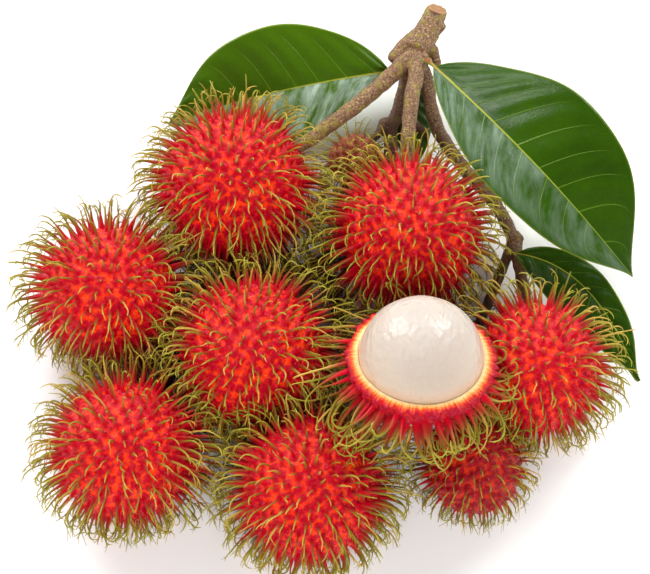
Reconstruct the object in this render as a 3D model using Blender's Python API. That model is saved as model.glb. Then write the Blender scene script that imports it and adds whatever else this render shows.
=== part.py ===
"""A picked bunch of rambutan, lying on a flat surface: a woody twig with leaves, whole fruits
clothed in soft spines, and one fruit with the upper half of its rind peeled off the white flesh.

Frame: +Z up, the surface is z = 0, the cut end of the twig lies towards +Y and the fruits
towards -Y. The origin is the middle of the bunch's outline on the surface.
"""

import math
from dataclasses import dataclass

import bmesh
import bpy
from mathutils import Matrix, Vector
from mathutils.bvhtree import BVHTree

# ---------------------------------------------------------------- driving dimensions, in metres
MM = 0.001
GAP = 0.35 * MM  # left between pieces that touch

ELONGATION = 1.05  # a fruit's length along its stem axis over its width
REST_DEPTH = 0.9 * MM  # how much a lying fruit is flattened where it rests
FULL_SIZE_RADIUS = 20.0 * MM

SPINE_LENGTH = 13.5 * MM
SPINE_CURL = 1.2  # radians that a spine turns from its root to its tip
SPINE_FALL = (0, -0.75, -0.66)  # the direction that all spines curl towards
SPINE_BEND_AT = 0.42  # where the solid spine has its one bend, from root to tip
SPINE_BEND_RADIUS = 0.8 * MM
SPINES_ON_FULL_SIZE = 76  # a fruit has several times as many, of which the solid has the outline
SHORTEST_SPINE = 4.5 * MM
LOWEST_SPINE_ROOT = 2.5 * MM  # under this height the fruit rests on its rind
STALK_COSINE = 0.93  # no spine grows closer to the stalk's direction than this

RIND_RADIUS = 21.3 * MM  # the opened fruit
RIND_THICKNESS = 2.6 * MM
RIM_HEIGHT = 4.2 * MM  # the cut edge, above the fruit's centre along its axis
FLESH_CENTRE = 4.5 * MM  # the flesh's widest level, above the same centre
FLESH_RADIUS = 17.75 * MM
FLESH_LOWER_LENGTH = 21.3 * MM

LEAF_EDGE_THICKNESS = 0.6 * MM
MIDRIB_THICKNESS = 1.8 * MM
PETIOLE_HALF_WIDTH = 0.9 * MM
LEAF_ROWS, LEAF_HALF_COLUMNS = 14, 3

LIMB_SIDES = 8
LIMB_STEP = 6.0 * MM  # length between two rings of a limb
STALK_RUN_IN = 4.0 * MM  # the last, straight bit of a stalk before its fruit


def mm(x, y, z):
    """A point given in millimetres."""
    return Vector((x, y, z)) * MM


# ---------------------------------------------------------------- the layout of the bunch, in mm
# A limb is the points of its centre line, its radius at both ends, and the fruit that it bears.
CROWN = (29.4, 83.7, 15)  # where the cut stub forks
FORK = (0, 15, 6)  # the hidden fork under the fruits
LIMBS = {
    "stub": ([(36.5, 99, 16), (33.7, 92.5, 15.5), CROWN], 3.4, 4.6, None),
    "bud_left": ([(29.5, 89, 15.5), (25.3, 85.5, 15.8), (21.5, 80.8, 15.5)], 2.4, 1.6, None),
    "bud_right": ([(31.5, 87, 15), (35.4, 83.5, 14.5), (35.8, 80, 13.5)], 2.2, 1.4, None),
    "upper_left": ([CROWN, (23.3, 76.4, 17), (11.6, 63.4, 20), (0, 51.5, 22.5)], 2.7, 2.1,
                   "fruit_top_left"),
    "upper_right": ([CROWN, (29.4, 75.8, 18), (27.4, 64.3, 21), (25, 54, 23)], 2.6, 2.0,
                    "fruit_top_right"),
    "long_hidden": ([(29, 82, 12), (26.6, 77, 10), (24.1, 67, 8), (21.2, 61.5, 7.2), (21, 50, 4.5),
                     (16, 36, 4.5), FORK], 2.3, 1.7, None),
    "broken_shoot": ([(24.1, 67, 8), (28.5, 62, 7.5), (33, 58.5, 6)], 1.7, 1.2, None),
    "far_right": ([(30, 82, 12.5), (32.6, 76.5, 11), (34.1, 66.3, 9.5), (37, 57, 8.5),
                   (46, 43.5, 7.5), (54, 33.5, 7.5), (59, 21.5, 8)], 2.2, 1.9, None),
    "to_small_back": ([(21.2, 61.5, 7.2), (17.5, 59, 7.6)], 1.8, 1.1, "fruit_small_back"),
    "to_centre": ([FORK, (-6, 5, 8.5)], 1.7, 1.4, "fruit_centre"),
    "to_left": ([FORK, (-16, 9.5, 6), (-36, 5, 8)], 1.7, 1.4, "fruit_left"),
    "to_lower_left": ([(-26, 7.2, 6.7), (-41, -12, 4), (-46, -22, 7)], 1.5, 1.3, "fruit_lower_left"),
    "to_bottom": ([FORK, (5, -5, 4), (9, -24, 4), (4, -36, 9)], 1.7, 1.3, "fruit_bottom"),
    "to_opened": ([(8.6, -22, 4), (18, -36, 5), (26.4, -45.5, 12)], 1.5, 1.4, "opened"),
    "to_right": ([(59, 21.5, 8), (61.2, 8, 9)], 2.0, 1.6, "fruit_right"),
    "to_lower_right": ([(59, 21.5, 8), (49, -2, 4), (42, -20, 3.5), (42, -30, 6)], 1.6, 1.2,
                       "fruit_lower_right"),
}
CUT_NORMAL = (0.30, 0.62, 0.72)  # the stub's end is cut on a slant

# Bud scars: a point and a radius.
KNOBS = [
    ((31.6, 79.8, 17.2), 2.2),
    ((37.2, 92.6, 15.5), 1.9),
    ((22.2, 81.6, 15.5), 2.1),
    ((35.8, 80.6, 13.6), 1.8),
    ((19.6, 61.2, 7.4), 3.0),
    ((59.2, 21.4, 8.0), 3.1),
    ((0.0, 15.0, 6.0), 2.5),
]


@dataclass
class Fruit:
    """One fruit, in mm. With no height given it lies on the surface."""

    name: str
    x: float
    y: float
    radius: float
    height: float = None
    elongation: float = ELONGATION
    spine_scale: float = 1.0
    colour: tuple = (0.62, 0.03, 0.03)

    def __post_init__(self):
        self.radius *= MM
        foot = next(points[-1] for points, _, _, borne in LIMBS.values() if borne == self.name)
        z = self.radius - REST_DEPTH if self.height is None else self.height * MM
        self.centre = Vector((self.x * MM, self.y * MM, z))
        self.axis = (mm(*foot) - self.centre).normalized()
        if self.height is None:
            lean = self.axis.z**2
            reach = self.radius * math.sqrt(self.elongation**2 * lean + 1 - lean)
            self.centre.z = reach - REST_DEPTH

    def matrix(self):
        """Local +Z is the stem axis, towards the stalk."""
        turn = self.axis.to_track_quat("Z", "Y").to_matrix().to_4x4()
        return Matrix.Translation(self.centre) @ turn

    def skin_point(self, direction, lift=0.0):
        """The point of the rind in that direction from the centre, moved outwards by lift."""
        direction = direction.normalized()
        along = direction.dot(self.axis)
        across = math.sqrt(max(0.0, 1 - along**2))
        reach = self.radius / math.hypot(along / self.elongation, across)
        return self.centre + direction * (reach + lift)


WHOLE_FRUITS = [
    Fruit("fruit_top_left", -28, 35, 20.7),
    Fruit("fruit_left", -65, 0, 19.0),
    Fruit("fruit_centre", -21, -20, 19.9),
    Fruit("fruit_lower_left", -58, -50, 19.0),
    Fruit("fruit_bottom", -4, -62, 19.2),
    Fruit("fruit_top_right", 26, 19, 20.3),
    Fruit("fruit_right", 63, -24, 18.0),
    Fruit("fruit_lower_right", 44, -52.5, 13.5, spine_scale=0.65),
    Fruit("fruit_small_back", 9.5, 49.5, 7.5, spine_scale=0.6, colour=(0.45, 0.30, 0.05)),
]
OPENED = Fruit("opened", 27.3, -33.1, RIND_RADIUS / MM, height=42.0, elongation=1.0)
FRUITS = [*WHOLE_FRUITS, OPENED]
FRUIT = {fruit.name: fruit for fruit in FRUITS}


@dataclass
class Leaf:
    """A leaf, in mm and degrees. Its midrib starts at the twig near base and curves to the tip."""

    name: str
    base: tuple
    middle: tuple
    tip: tuple
    half_widths: tuple  # right and left of the midrib, seen from above with the tip away
    roll: float  # how much the blade is turned about its midrib
    fold: float = 14.0  # how much each half rises from the midrib
    petiole: float = 0.03  # the share of the length before the blade


LEAVES = [
    Leaf("leaf_left", (25, 78.5, 12), (-14.5, 73, 8.5), (-50, 63.5, 4.5), (17.5, 21), roll=-15),
    Leaf("leaf_right", (32.5, 78.3, 19.5), (64, 34.5, 34), (94, 7, 13.5), (24.5, 16), roll=6),
    Leaf("leaf_lower_right", (56, 16.5, 12.8), (79.4, 3, 14.3), (95.5, -23.5, 3.5), (6.5, 12), roll=0),
    Leaf("leaf_small_back", (28, 79, 10), (28.5, 66, 4), (28, 47, 2.0), (6.5, 6.5), roll=0, fold=6),
]


# ---------------------------------------------------------------- small helpers
def clear_scene():
    for obj in list(bpy.data.objects):
        bpy.data.objects.remove(obj)


def material(name, colour, roughness):
    """A plain Principled finish."""
    mat = bpy.data.materials.new(name)
    mat.use_nodes = True
    shader = mat.node_tree.nodes["Principled BSDF"]
    shader.inputs["Base Color"].default_value = (*colour, 1.0)
    shader.inputs["Roughness"].default_value = roughness
    shader.inputs["Metallic"].default_value = 0.0
    mat.diffuse_color = (*colour, 1.0)
    return mat


def add_object(name, bm, matrix, mat, parent):
    """Makes an object from a bmesh in world space, with its origin and turn given by matrix."""
    bmesh.ops.recalc_face_normals(bm, faces=bm.faces)
    mesh = bpy.data.meshes.new(name)
    bm.to_mesh(mesh)
    bm.free()
    mesh.transform(matrix.inverted())
    mesh.materials.append(mat)
    mesh.shade_smooth()
    mesh.set_sharp_from_angle(angle=math.radians(40))
    obj = bpy.data.objects.new(name, mesh)
    bpy.context.scene.collection.objects.link(obj)
    obj.parent = parent
    obj.matrix_world = matrix
    return obj


def surface_tree(obj):
    """A search tree of an object's evaluated surface, in world space."""
    bpy.context.view_layer.update()
    graph = bpy.context.evaluated_depsgraph_get()
    bm = bmesh.new()
    bm.from_object(obj, graph)
    bmesh.ops.transform(bm, matrix=obj.matrix_world, verts=bm.verts)
    tree = BVHTree.FromBMesh(bm)
    bm.free()
    return tree


def smooth_curve(points, steps_per_span=8):
    """Points along a Catmull-Rom curve through the given ones."""
    ends = [points[0] * 2 - points[1], *points, points[-1] * 2 - points[-2]]
    found = []
    for before, start, end, after in zip(ends, ends[1:], ends[2:], ends[3:]):
        for step in range(steps_per_span):
            t = step / steps_per_span
            found.append(
                0.5 * (2 * start + (end - before) * t
                       + (2 * before - 5 * start + 4 * end - after) * t**2
                       + (3 * start - before - 3 * end + after) * t**3)
            )
    return [*found, points[-1].copy()]


def evenly_spaced(points, step):
    """The same line with its points about one step apart."""
    lengths = [(b - a).length for a, b in zip(points, points[1:])]
    count = max(2, round(sum(lengths) / step))
    found, walked, i = [points[0].copy()], 0.0, 0
    for k in range(1, count):
        target = sum(lengths) * k / count
        while walked + lengths[i] < target:
            walked += lengths[i]
            i += 1
        found.append(points[i].lerp(points[i + 1], (target - walked) / lengths[i]))
    return [*found, points[-1].copy()]


def fibonacci_directions(count):
    """Directions spread evenly over a sphere."""
    golden = math.pi * (3 - math.sqrt(5))
    for i in range(count):
        z = 1 - 2 * (i + 0.5) / count
        ring = math.sqrt(1 - z * z)
        yield Vector((ring * math.cos(i * golden), ring * math.sin(i * golden), z))


# ---------------------------------------------------------------- twig
def limb_line(name):
    """A limb's centre line, led on to the stem end of the fruit that it bears."""
    points, _, _, borne = LIMBS[name]
    line = smooth_curve([mm(*p) for p in points])
    if borne:
        fruit = FRUIT[borne]
        run_in = fruit.skin_point(fruit.axis, lift=STALK_RUN_IN)
        line = smooth_curve([*(mm(*p) for p in points[:-1]), run_in])
        line.append(fruit.skin_point(fruit.axis, lift=GAP))
    return evenly_spaced(line, LIMB_STEP)


def slant_cut(ring, centre, ahead):
    """Slides a ring's points along the limb onto the slanted plane of the cut."""
    normal = Vector(CUT_NORMAL)
    for vert in ring:
        vert.co -= ahead * (vert.co - centre).dot(normal) / ahead.dot(normal)


def limb_mesh(name):
    """A closed tapering tube along the limb, in world space."""
    line = limb_line(name)
    start, end = (radius * MM for radius in LIMBS[name][1:3])
    bm = bmesh.new()
    rings = []
    side = (line[1] - line[0]).orthogonal()
    for i, point in enumerate(line):
        ahead = (line[min(i + 1, len(line) - 1)] - line[max(i - 1, 0)]).normalized()
        side = (side - ahead * side.dot(ahead)).normalized()
        other = ahead.cross(side)
        radius = start + (end - start) * i / (len(line) - 1)
        turns = [2 * math.pi * k / LIMB_SIDES for k in range(LIMB_SIDES)]
        rings.append(
            [bm.verts.new(point + (side * math.cos(t) + other * math.sin(t)) * radius) for t in turns]
        )
    if name == "stub":
        slant_cut(rings[0], line[0], (line[1] - line[0]).normalized())
    for near, far in zip(rings, rings[1:]):
        for k in range(LIMB_SIDES):
            n = (k + 1) % LIMB_SIDES
            bm.faces.new((near[k], near[n], far[n], far[k]))
    bm.faces.new(rings[0])
    bm.faces.new(rings[-1])
    return bm


def knob_mesh(point, radius):
    bm = bmesh.new()
    at = Matrix.Translation(mm(*point))
    bmesh.ops.create_icosphere(bm, subdivisions=1, radius=radius * MM, matrix=at)
    return bm


def build_twig(parent):
    """The cut stub with its limbs, stalks and knobs, joined into one woody solid."""
    bark = material("bark", (0.24, 0.15, 0.10), 0.8)
    place = Matrix.Translation(mm(*CROWN))
    twig = add_object("twig", limb_mesh("stub"), place, bark, parent)
    grown = [(name, limb_mesh(name)) for name in LIMBS if name != "stub"]
    grown += [(f"knob_{i}", knob_mesh(*knob)) for i, knob in enumerate(KNOBS)]
    for name, bm in grown:
        limb = add_object(f"limb_{name}", bm, place, bark, parent)
        limb.hide_render = True
        limb.display_type = "WIRE"
        join = twig.modifiers.new(f"join {name}", "BOOLEAN")
        join.operation = "UNION"
        join.solver = "EXACT"
        join.object = limb
    return twig


# ---------------------------------------------------------------- leaves
def blade_half_width(share):
    """The blade's half width over its largest, from its foot (0) to its drawn-out point (1)."""
    oval = math.sin(math.pi * share**0.95) ** 0.8
    into_point = min(1.0, max(0.0, (share - 0.84) / 0.14))
    return oval * (1 - 0.62 * into_point**2 * (3 - 2 * into_point))


def leaf_start(leaf, twig_tree):
    """Where the petiole begins, just off the twig."""
    at, normal, _, _ = twig_tree.find_nearest(mm(*leaf.base))
    return at + normal * (GAP + MIDRIB_THICKNESS / 2)


def leaf_mesh(leaf, base):
    """A thin closed blade with a thicker midrib that runs on as the petiole, in world space."""
    middle, tip = mm(*leaf.middle), mm(*leaf.tip)
    handle = middle * 2 - (base + tip) / 2
    columns = range(-LEAF_HALF_COLUMNS, LEAF_HALF_COLUMNS + 1)
    top, bottom = [], []
    bm = bmesh.new()
    for row in range(LEAF_ROWS + 1):
        s = row / LEAF_ROWS
        spine = base * (1 - s) ** 2 + handle * 2 * s * (1 - s) + tip * s * s
        ahead = ((handle - base) * (1 - s) + (tip - handle) * s).normalized()
        across = ahead.cross(Vector((0, 0, 1))).normalized()
        across = Matrix.Rotation(math.radians(leaf.roll), 3, ahead) @ across
        normal = across.cross(ahead).normalized()
        blade = min(1.0, max(0.0, (s - leaf.petiole) / (1 - leaf.petiole)))
        fullness = blade_half_width(blade)
        narrowest = PETIOLE_HALF_WIDTH * (1 - 0.5 * s)
        wide = [max(side * MM * fullness, narrowest) for side in leaf.half_widths]
        rib = LEAF_EDGE_THICKNESS + (MIDRIB_THICKNESS - LEAF_EDGE_THICKNESS) * (1 - s) ** 0.7
        upper, lower = [], []
        for column in columns:
            t = column / LEAF_HALF_COLUMNS
            rise = math.sin(math.radians(leaf.fold)) * abs(t) * (1 - 0.45 * abs(t))
            reach = wide[t > 0]
            at = spine + across * reach * t + normal * reach * rise
            thick = rib if column == 0 else LEAF_EDGE_THICKNESS
            upper.append(bm.verts.new(at + normal * thick / 2))
            lower.append(bm.verts.new(at - normal * thick / 2))
        top.append(upper)
        bottom.append(lower)
    last = 2 * LEAF_HALF_COLUMNS
    for r in range(LEAF_ROWS):
        for c in range(last):
            bm.faces.new((top[r][c], top[r][c + 1], top[r + 1][c + 1], top[r + 1][c]))
            bm.faces.new((bottom[r][c], bottom[r + 1][c], bottom[r + 1][c + 1], bottom[r][c + 1]))
        for edge in (0, last):
            bm.faces.new((top[r][edge], top[r + 1][edge], bottom[r + 1][edge], bottom[r][edge]))
    for r in (0, LEAF_ROWS):
        for c in range(last):
            bm.faces.new((top[r][c], top[r][c + 1], bottom[r][c + 1], bottom[r][c]))
    bmesh.ops.triangulate(bm, faces=bm.faces)
    return bm


def build_leaf(leaf, twig_tree, parent):
    green = material(f"{leaf.name}_blade", (0.03, 0.12, 0.02), 0.4)
    base = leaf_start(leaf, twig_tree)
    return add_object(leaf.name, leaf_mesh(leaf, base), Matrix.Translation(base), green, parent)


# ---------------------------------------------------------------- spines
def spine_point(root, normal, away, length, share):
    """The point at that share of a spine's length: it leaves upright and curls over."""
    turned = SPINE_CURL * share
    rise = math.sin(turned) / SPINE_CURL
    sweep = (1 - math.cos(turned)) / SPINE_CURL
    return root + (normal * rise + away * sweep) * length


def is_free(point, fruit, trees, room):
    """Whether a point is on the fruit's own side of its neighbours, and clear of the rest."""
    if point.z < room:
        return False
    for other in FRUITS:
        if other is not fruit:
            between = other.centre - fruit.centre
            share = (between.length + fruit.radius - other.radius) / 2
            if (point - fruit.centre).dot(between.normalized()) > share - room:
                return False
    return all(tree.find_nearest(point, room)[0] is None for tree in trees)


def free_share(root, normal, away, length, fruit, trees):
    """How much of a spine, from its root, stays clear of everything around the fruit."""
    steps = 20
    for step in range(3, steps + 1):
        share = step / steps
        room = GAP + SPINE_BEND_RADIUS * (1 - share)
        if not is_free(spine_point(root, normal, away, length, share), fruit, trees, room):
            return (step - 1) / steps
    return 1.0


def grow_spine(bm, face, bend, tip):
    """Replaces a face of the rind with a spine: a cone with one bend."""
    base = list(face.verts)
    middle = face.calc_center_median()
    ahead = (tip - middle).normalized()
    ring = []
    for corner in base:
        out = corner.co - middle
        out = (out - ahead * out.dot(ahead)).normalized()
        ring.append(bm.verts.new(bend + out * SPINE_BEND_RADIUS))
    point = bm.verts.new(tip)
    bm.faces.remove(face)
    for k in range(len(base)):
        n = (k + 1) % len(base)
        bm.faces.new((base[k], base[n], ring[n], ring[k]))
        bm.faces.new((ring[k], ring[n], point))


def grow_spines(bm, fruit, faces, trees):
    """Grows spines on the faces nearest to evenly spread directions."""
    count = round(SPINES_ON_FULL_SIZE * min(1.0, (fruit.radius / FULL_SIZE_RADIUS) ** 1.3))
    turn = fruit.axis.to_track_quat("Z", "Y")
    length = SPINE_LENGTH * fruit.spine_scale
    fall = Vector(SPINE_FALL)
    roots = {face: face.calc_center_median() for face in faces}
    for direction in fibonacci_directions(count):
        direction = turn @ direction
        if direction.dot(fruit.axis) > STALK_COSINE:
            continue
        target = fruit.skin_point(direction)
        face = min(roots, key=lambda f: (roots[f] - target).length)
        root = roots[face]
        if root.z < LOWEST_SPINE_ROOT or (root - target).length > 0.2 * fruit.radius:
            continue
        normal = (root - fruit.centre).normalized()
        away = (fall - normal * normal.dot(fall)).normalized()
        share = free_share(root, normal, away, length, fruit, trees)
        if share * length < SHORTEST_SPINE * fruit.spine_scale:
            continue
        del roots[face]
        bend, tip = (
            spine_point(root, normal, away, length, share * part) for part in (SPINE_BEND_AT, 1.0)
        )
        grow_spine(bm, face, bend, tip)


# ---------------------------------------------------------------- fruits
def flatten_rest_spot(bm):
    """Cuts off what would be under the surface, and closes the fruit with a flat spot."""
    everything = [*bm.verts, *bm.edges, *bm.faces]
    cut = bmesh.ops.bisect_plane(
        bm, geom=everything, plane_co=(0, 0, 0), plane_no=(0, 0, -1), clear_outer=True
    )["geom_cut"]
    rim = [vert for vert in cut if isinstance(vert, bmesh.types.BMVert)]
    bmesh.ops.remove_doubles(bm, verts=rim, dist=0.5 * MM)
    open_edges = [edge for edge in bm.edges if edge.is_boundary]
    bmesh.ops.contextual_create(bm, geom=open_edges)


def build_fruit(fruit, trees, parent):
    """A whole fruit: one solid of rind, flesh and seed, as it grew, with its spines."""
    bm = bmesh.new()
    bmesh.ops.create_icosphere(bm, subdivisions=3, radius=fruit.radius)
    bmesh.ops.scale(bm, vec=(1, 1, fruit.elongation), verts=bm.verts)
    bmesh.ops.transform(bm, matrix=fruit.matrix(), verts=bm.verts)
    flatten_rest_spot(bm)
    grow_spines(bm, fruit, [face for face in bm.faces if len(face.verts) == 3], trees)
    skin = material(f"{fruit.name}_rind", fruit.colour, 0.5)
    return add_object(fruit.name, bm, fruit.matrix(), skin, parent)


def lathe(bm, profile, around):
    """Turns a profile of (radius, height) points about Z. Its ends are on the axis."""
    turns = [2 * math.pi * k / around for k in range(around)]
    first, last = (bm.verts.new((0, 0, profile[end][1])) for end in (0, -1))
    rings = [
        [bm.verts.new((radius * math.cos(t), radius * math.sin(t), height)) for t in turns]
        for radius, height in profile[1:-1]
    ]
    for k in range(around):
        n = (k + 1) % around
        bm.faces.new((first, rings[0][n], rings[0][k]))
        bm.faces.new((last, rings[-1][k], rings[-1][n]))
        for low, high in zip(rings, rings[1:]):
            bm.faces.new((low[k], low[n], high[n], high[k]))


def bowl_profile(radius, bands):
    """A sphere's outline from its lowest point up to the rim."""
    top = math.asin(RIM_HEIGHT / radius)
    angles = [-math.pi / 2 + (top + math.pi / 2) * i / bands for i in range(bands + 1)]
    return [(radius * math.cos(angle), radius * math.sin(angle)) for angle in angles]


def opened_matrix():
    """Local +Z points out of the opened fruit, away from its stalk."""
    turn = (-OPENED.axis).to_track_quat("Z", "Y").to_matrix().to_4x4()
    return Matrix.Translation(OPENED.centre) @ turn


def build_opened_rind(trees, parent):
    """The lower half of a rind: a bowl with spines on its outside."""
    around, bands = 26, 8
    outside = bowl_profile(RIND_RADIUS, bands)
    inside = bowl_profile(RIND_RADIUS - RIND_THICKNESS, bands)
    bm = bmesh.new()
    lathe(bm, [*outside, *reversed(inside)], around)
    spiny = [
        face for face in bm.faces
        if all(v.co.length > RIND_RADIUS - GAP for v in face.verts)
        and max(v.co.z for v in face.verts) < RIM_HEIGHT - GAP
    ]
    bmesh.ops.transform(bm, matrix=opened_matrix(), verts=bm.verts)
    grow_spines(bm, OPENED, spiny, trees)
    skin = material("opened_rind", (0.68, 0.05, 0.03), 0.5)
    return add_object("opened_rind", bm, opened_matrix(), skin, parent)


def build_opened_flesh(parent):
    """The white flesh: round above its widest level, egg-shaped below it, inside the rind."""
    around, bands = 24, 12
    angles = [-math.pi / 2 + math.pi * i / bands for i in range(bands + 1)]
    lengths = [FLESH_LOWER_LENGTH if angle < 0 else FLESH_RADIUS for angle in angles]
    profile = [
        (FLESH_RADIUS * math.cos(angle), FLESH_CENTRE + length * math.sin(angle))
        for angle, length in zip(angles, lengths)
    ]
    bm = bmesh.new()
    lathe(bm, profile, around)
    bmesh.ops.transform(bm, matrix=opened_matrix(), verts=bm.verts)
    white = material("flesh", (0.82, 0.78, 0.70), 0.25)
    return add_object("opened_flesh", bm, opened_matrix(), white, parent)


def put_origin_in_the_middle(bunch):
    """Slides the whole bunch along the surface until its box is centred on the origin."""
    bpy.context.view_layer.update()
    graph = bpy.context.evaluated_depsgraph_get()
    low, high = Vector((math.inf,) * 3), Vector((-math.inf,) * 3)
    for obj in bunch.children:
        if obj.hide_render:
            continue
        solid = obj.evaluated_get(graph)
        for vert in solid.data.vertices:
            at = obj.matrix_world @ vert.co
            low = Vector(map(min, low, at))
            high = Vector(map(max, high, at))
    bunch.location = (-(low.x + high.x) / 2, -(low.y + high.y) / 2, 0)


def main():
    clear_scene()
    bunch = bpy.data.objects.new("bunch", None)
    bpy.context.scene.collection.objects.link(bunch)
    twig_tree = surface_tree(build_twig(bunch))
    leaf_trees = [surface_tree(build_leaf(leaf, twig_tree, bunch)) for leaf in LEAVES]
    trees = [twig_tree, *leaf_trees]
    for fruit in WHOLE_FRUITS:
        build_fruit(fruit, trees, bunch)
    build_opened_rind(trees, bunch)
    build_opened_flesh(bunch)
    put_origin_in_the_middle(bunch)


main()
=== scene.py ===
# %% [markdown]
# # A bunch of rambutan
# A picked bunch lies on a pale table: nine whole fruits covered in soft spines, one fruit whose
# upper rind has been peeled off the white flesh, a forked woody twig and four leaves. The solid
# model already fixes where each piece is and how large it is. This file gives each piece its
# surface: thousands of tapering, kinked spines, a pebbled rind, waxy leaves, rough bark and
# moist flesh.

# %% Load the solid model
import math
from dataclasses import dataclass

import bmesh
import bpy
import numpy as np
from mathutils import Matrix, Vector
from mathutils import noise as mathutils_noise
from mathutils.bvhtree import BVHTree
from mathutils.kdtree import KDTree


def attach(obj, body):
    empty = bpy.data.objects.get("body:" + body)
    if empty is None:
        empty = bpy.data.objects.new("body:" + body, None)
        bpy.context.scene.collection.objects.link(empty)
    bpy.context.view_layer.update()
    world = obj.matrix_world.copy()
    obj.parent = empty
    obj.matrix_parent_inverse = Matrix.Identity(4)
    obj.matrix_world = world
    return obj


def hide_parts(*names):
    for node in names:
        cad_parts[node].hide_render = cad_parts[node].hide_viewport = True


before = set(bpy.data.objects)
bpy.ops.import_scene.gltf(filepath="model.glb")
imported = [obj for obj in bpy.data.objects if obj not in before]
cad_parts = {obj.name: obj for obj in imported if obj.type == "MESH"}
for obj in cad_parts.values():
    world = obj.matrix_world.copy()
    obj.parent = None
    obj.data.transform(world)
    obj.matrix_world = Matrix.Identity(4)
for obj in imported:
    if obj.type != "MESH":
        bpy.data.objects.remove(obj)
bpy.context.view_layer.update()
MM = 0.001
print("pieces in the solid model:", sorted(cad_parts))

# %% [markdown]
# ## Camera
# The bunch is seen from high up, as on a tasting table, with the cut end of the twig at the top.
# A long lens from over half a metre away keeps the outer fruits from looking stretched. The
# camera aims at the middle of the bunch, a third of the way up its height.

# %% Place the camera
CAMERA_ELEVATION = math.radians(68)
CAMERA_DISTANCE = 0.5958
CAMERA_LENS = 110
AIM = Vector((0.2, -5.4, 22)) * MM


def look_from(name, azimuth, elevation, distance, aim):
    """The place and turn of something that looks at aim from that angle and distance."""
    away = Vector((
        math.sin(azimuth) * math.cos(elevation),
        -math.cos(azimuth) * math.cos(elevation),
        math.sin(elevation),
    ))
    print(f"{name} stands {distance:.2f} m away at elevation {math.degrees(elevation):.0f}")
    return Matrix.Translation(aim + away * distance) @ away.to_track_quat("Z", "Y").to_matrix().to_4x4()


camera_data = bpy.data.cameras.new("camera")
camera_data.lens = CAMERA_LENS
camera_data.clip_start = 0.05
camera = bpy.data.objects.new("camera", camera_data)
camera.matrix_world = look_from("camera", 0, CAMERA_ELEVATION, CAMERA_DISTANCE, AIM)
bpy.context.scene.collection.objects.link(camera)
bpy.context.scene.camera = camera

# %% [markdown]
# ## Table and light
# Fruit for a catalogue is lit by large soft sources, so that no spine throws a hard shadow on its
# neighbour. Two wide panels stand low behind the stem end, one on each side. They give the moist
# flesh its pair of soft highlights and put a sheen on the halves of the leaves that tilt towards
# them. A weaker panel between them does the same for the lower half of the right leaf. A wide
# panel in front fills the shadows and is hidden from mirror-like reflections, so that the flesh
# keeps its two highlights. The room has pale walls and a dim ceiling: waxy leaves that face up
# would mirror a bright ceiling, and their deep green would turn milky.


# %% Build the table and the panels
def add_panel(name, azimuth, elevation, distance, size, power, is_mirrored=True):
    """A square light panel that looks at the bunch."""
    data = bpy.data.lights.new(name, "AREA")
    data.shape = "SQUARE"
    data.size = size
    data.energy = power
    panel = bpy.data.objects.new(name, data)
    panel.matrix_world = look_from(name, math.radians(azimuth), math.radians(elevation), distance, AIM)
    panel.visible_glossy = is_mirrored
    bpy.context.scene.collection.objects.link(panel)


add_panel("back_left_panel", -140, 34, 1.2, 0.58, 14.5)
add_panel("back_right_panel", 143, 33, 1.2, 0.50, 12.5)
add_panel("leaf_panel", 176, 43, 1.3, 0.34, 1.2)
add_panel("front_panel", 0, 44, 1.3, 0.85, 15.5, is_mirrored=False)

bpy.ops.mesh.primitive_plane_add(size=6, location=(0, 0, -0.3 * MM))
table = bpy.context.object
table.name = "table"
bpy.context.scene.view_settings.view_transform = "Standard"
print("the table and four light panels are in place")

# %% Paint the room around them
WALL_LIGHT = 0.70
CEILING_LIGHT = 0.16

world = bpy.data.worlds.new("studio")
world.use_nodes = True
room = world.node_tree
place = room.nodes.new("ShaderNodeTexCoord")
height = room.nodes.new("ShaderNodeSeparateXYZ")
wall_to_ceiling = room.nodes.new("ShaderNodeMapRange")
wall_to_ceiling.inputs["From Min"].default_value = 0.15
wall_to_ceiling.inputs["From Max"].default_value = 0.75
wall_to_ceiling.inputs["To Min"].default_value = WALL_LIGHT
wall_to_ceiling.inputs["To Max"].default_value = CEILING_LIGHT
room.links.new(place.outputs["Generated"], height.inputs["Vector"])
room.links.new(height.outputs["Z"], wall_to_ceiling.inputs["Value"])
room.links.new(wall_to_ceiling.outputs["Result"], room.nodes["Background"].inputs["Strength"])
room.nodes["Background"].inputs["Color"].default_value = (1.0, 0.99, 0.97, 1)
bpy.context.scene.world = world
print("the room goes from", WALL_LIGHT, "at the walls to", CEILING_LIGHT, "at the ceiling")

# %% [markdown]
# ## Where each fruit is
# The solid model knows every fruit as a ball with a few dozen stiff spines. The rind of a fruit is
# the innermost layer of its points, so a ball fitted to that layer gives the fruit's centre and
# size. The stalk ends right at the stem end, which gives the direction of the fruit's axis.


# %% Measure the whole fruits
@dataclass
class Fruit:
    """One fruit as measured on the solid model, in metres."""

    name: str
    centre: np.ndarray
    radius: float  # at its widest level
    stalk: np.ndarray  # the direction from the centre to the stem end
    reach: float  # how far the stiff spines stand out from the rind
    stretch: float = 1.05  # length along the stalk over the width


def unit(vectors):
    return vectors / np.linalg.norm(vectors, axis=-1, keepdims=True)


def node_points(name):
    """The corners of a solid, each once."""
    corners = np.array([corner.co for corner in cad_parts[name].data.vertices], float)
    return np.unique(np.round(corners, 7), axis=0)


def fit_ball(points):
    """The centre and radius of the ball that passes closest to the points."""
    rows = np.c_[2 * points, np.ones(len(points))]
    found = np.linalg.lstsq(rows, (points**2).sum(axis=1), rcond=None)[0]
    return found[:3], math.sqrt(found[3] + found[:3] @ found[:3])


twig_points = node_points("twig")
STALK_RING = 8  # a stalk ends in a ring of that many corners


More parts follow.
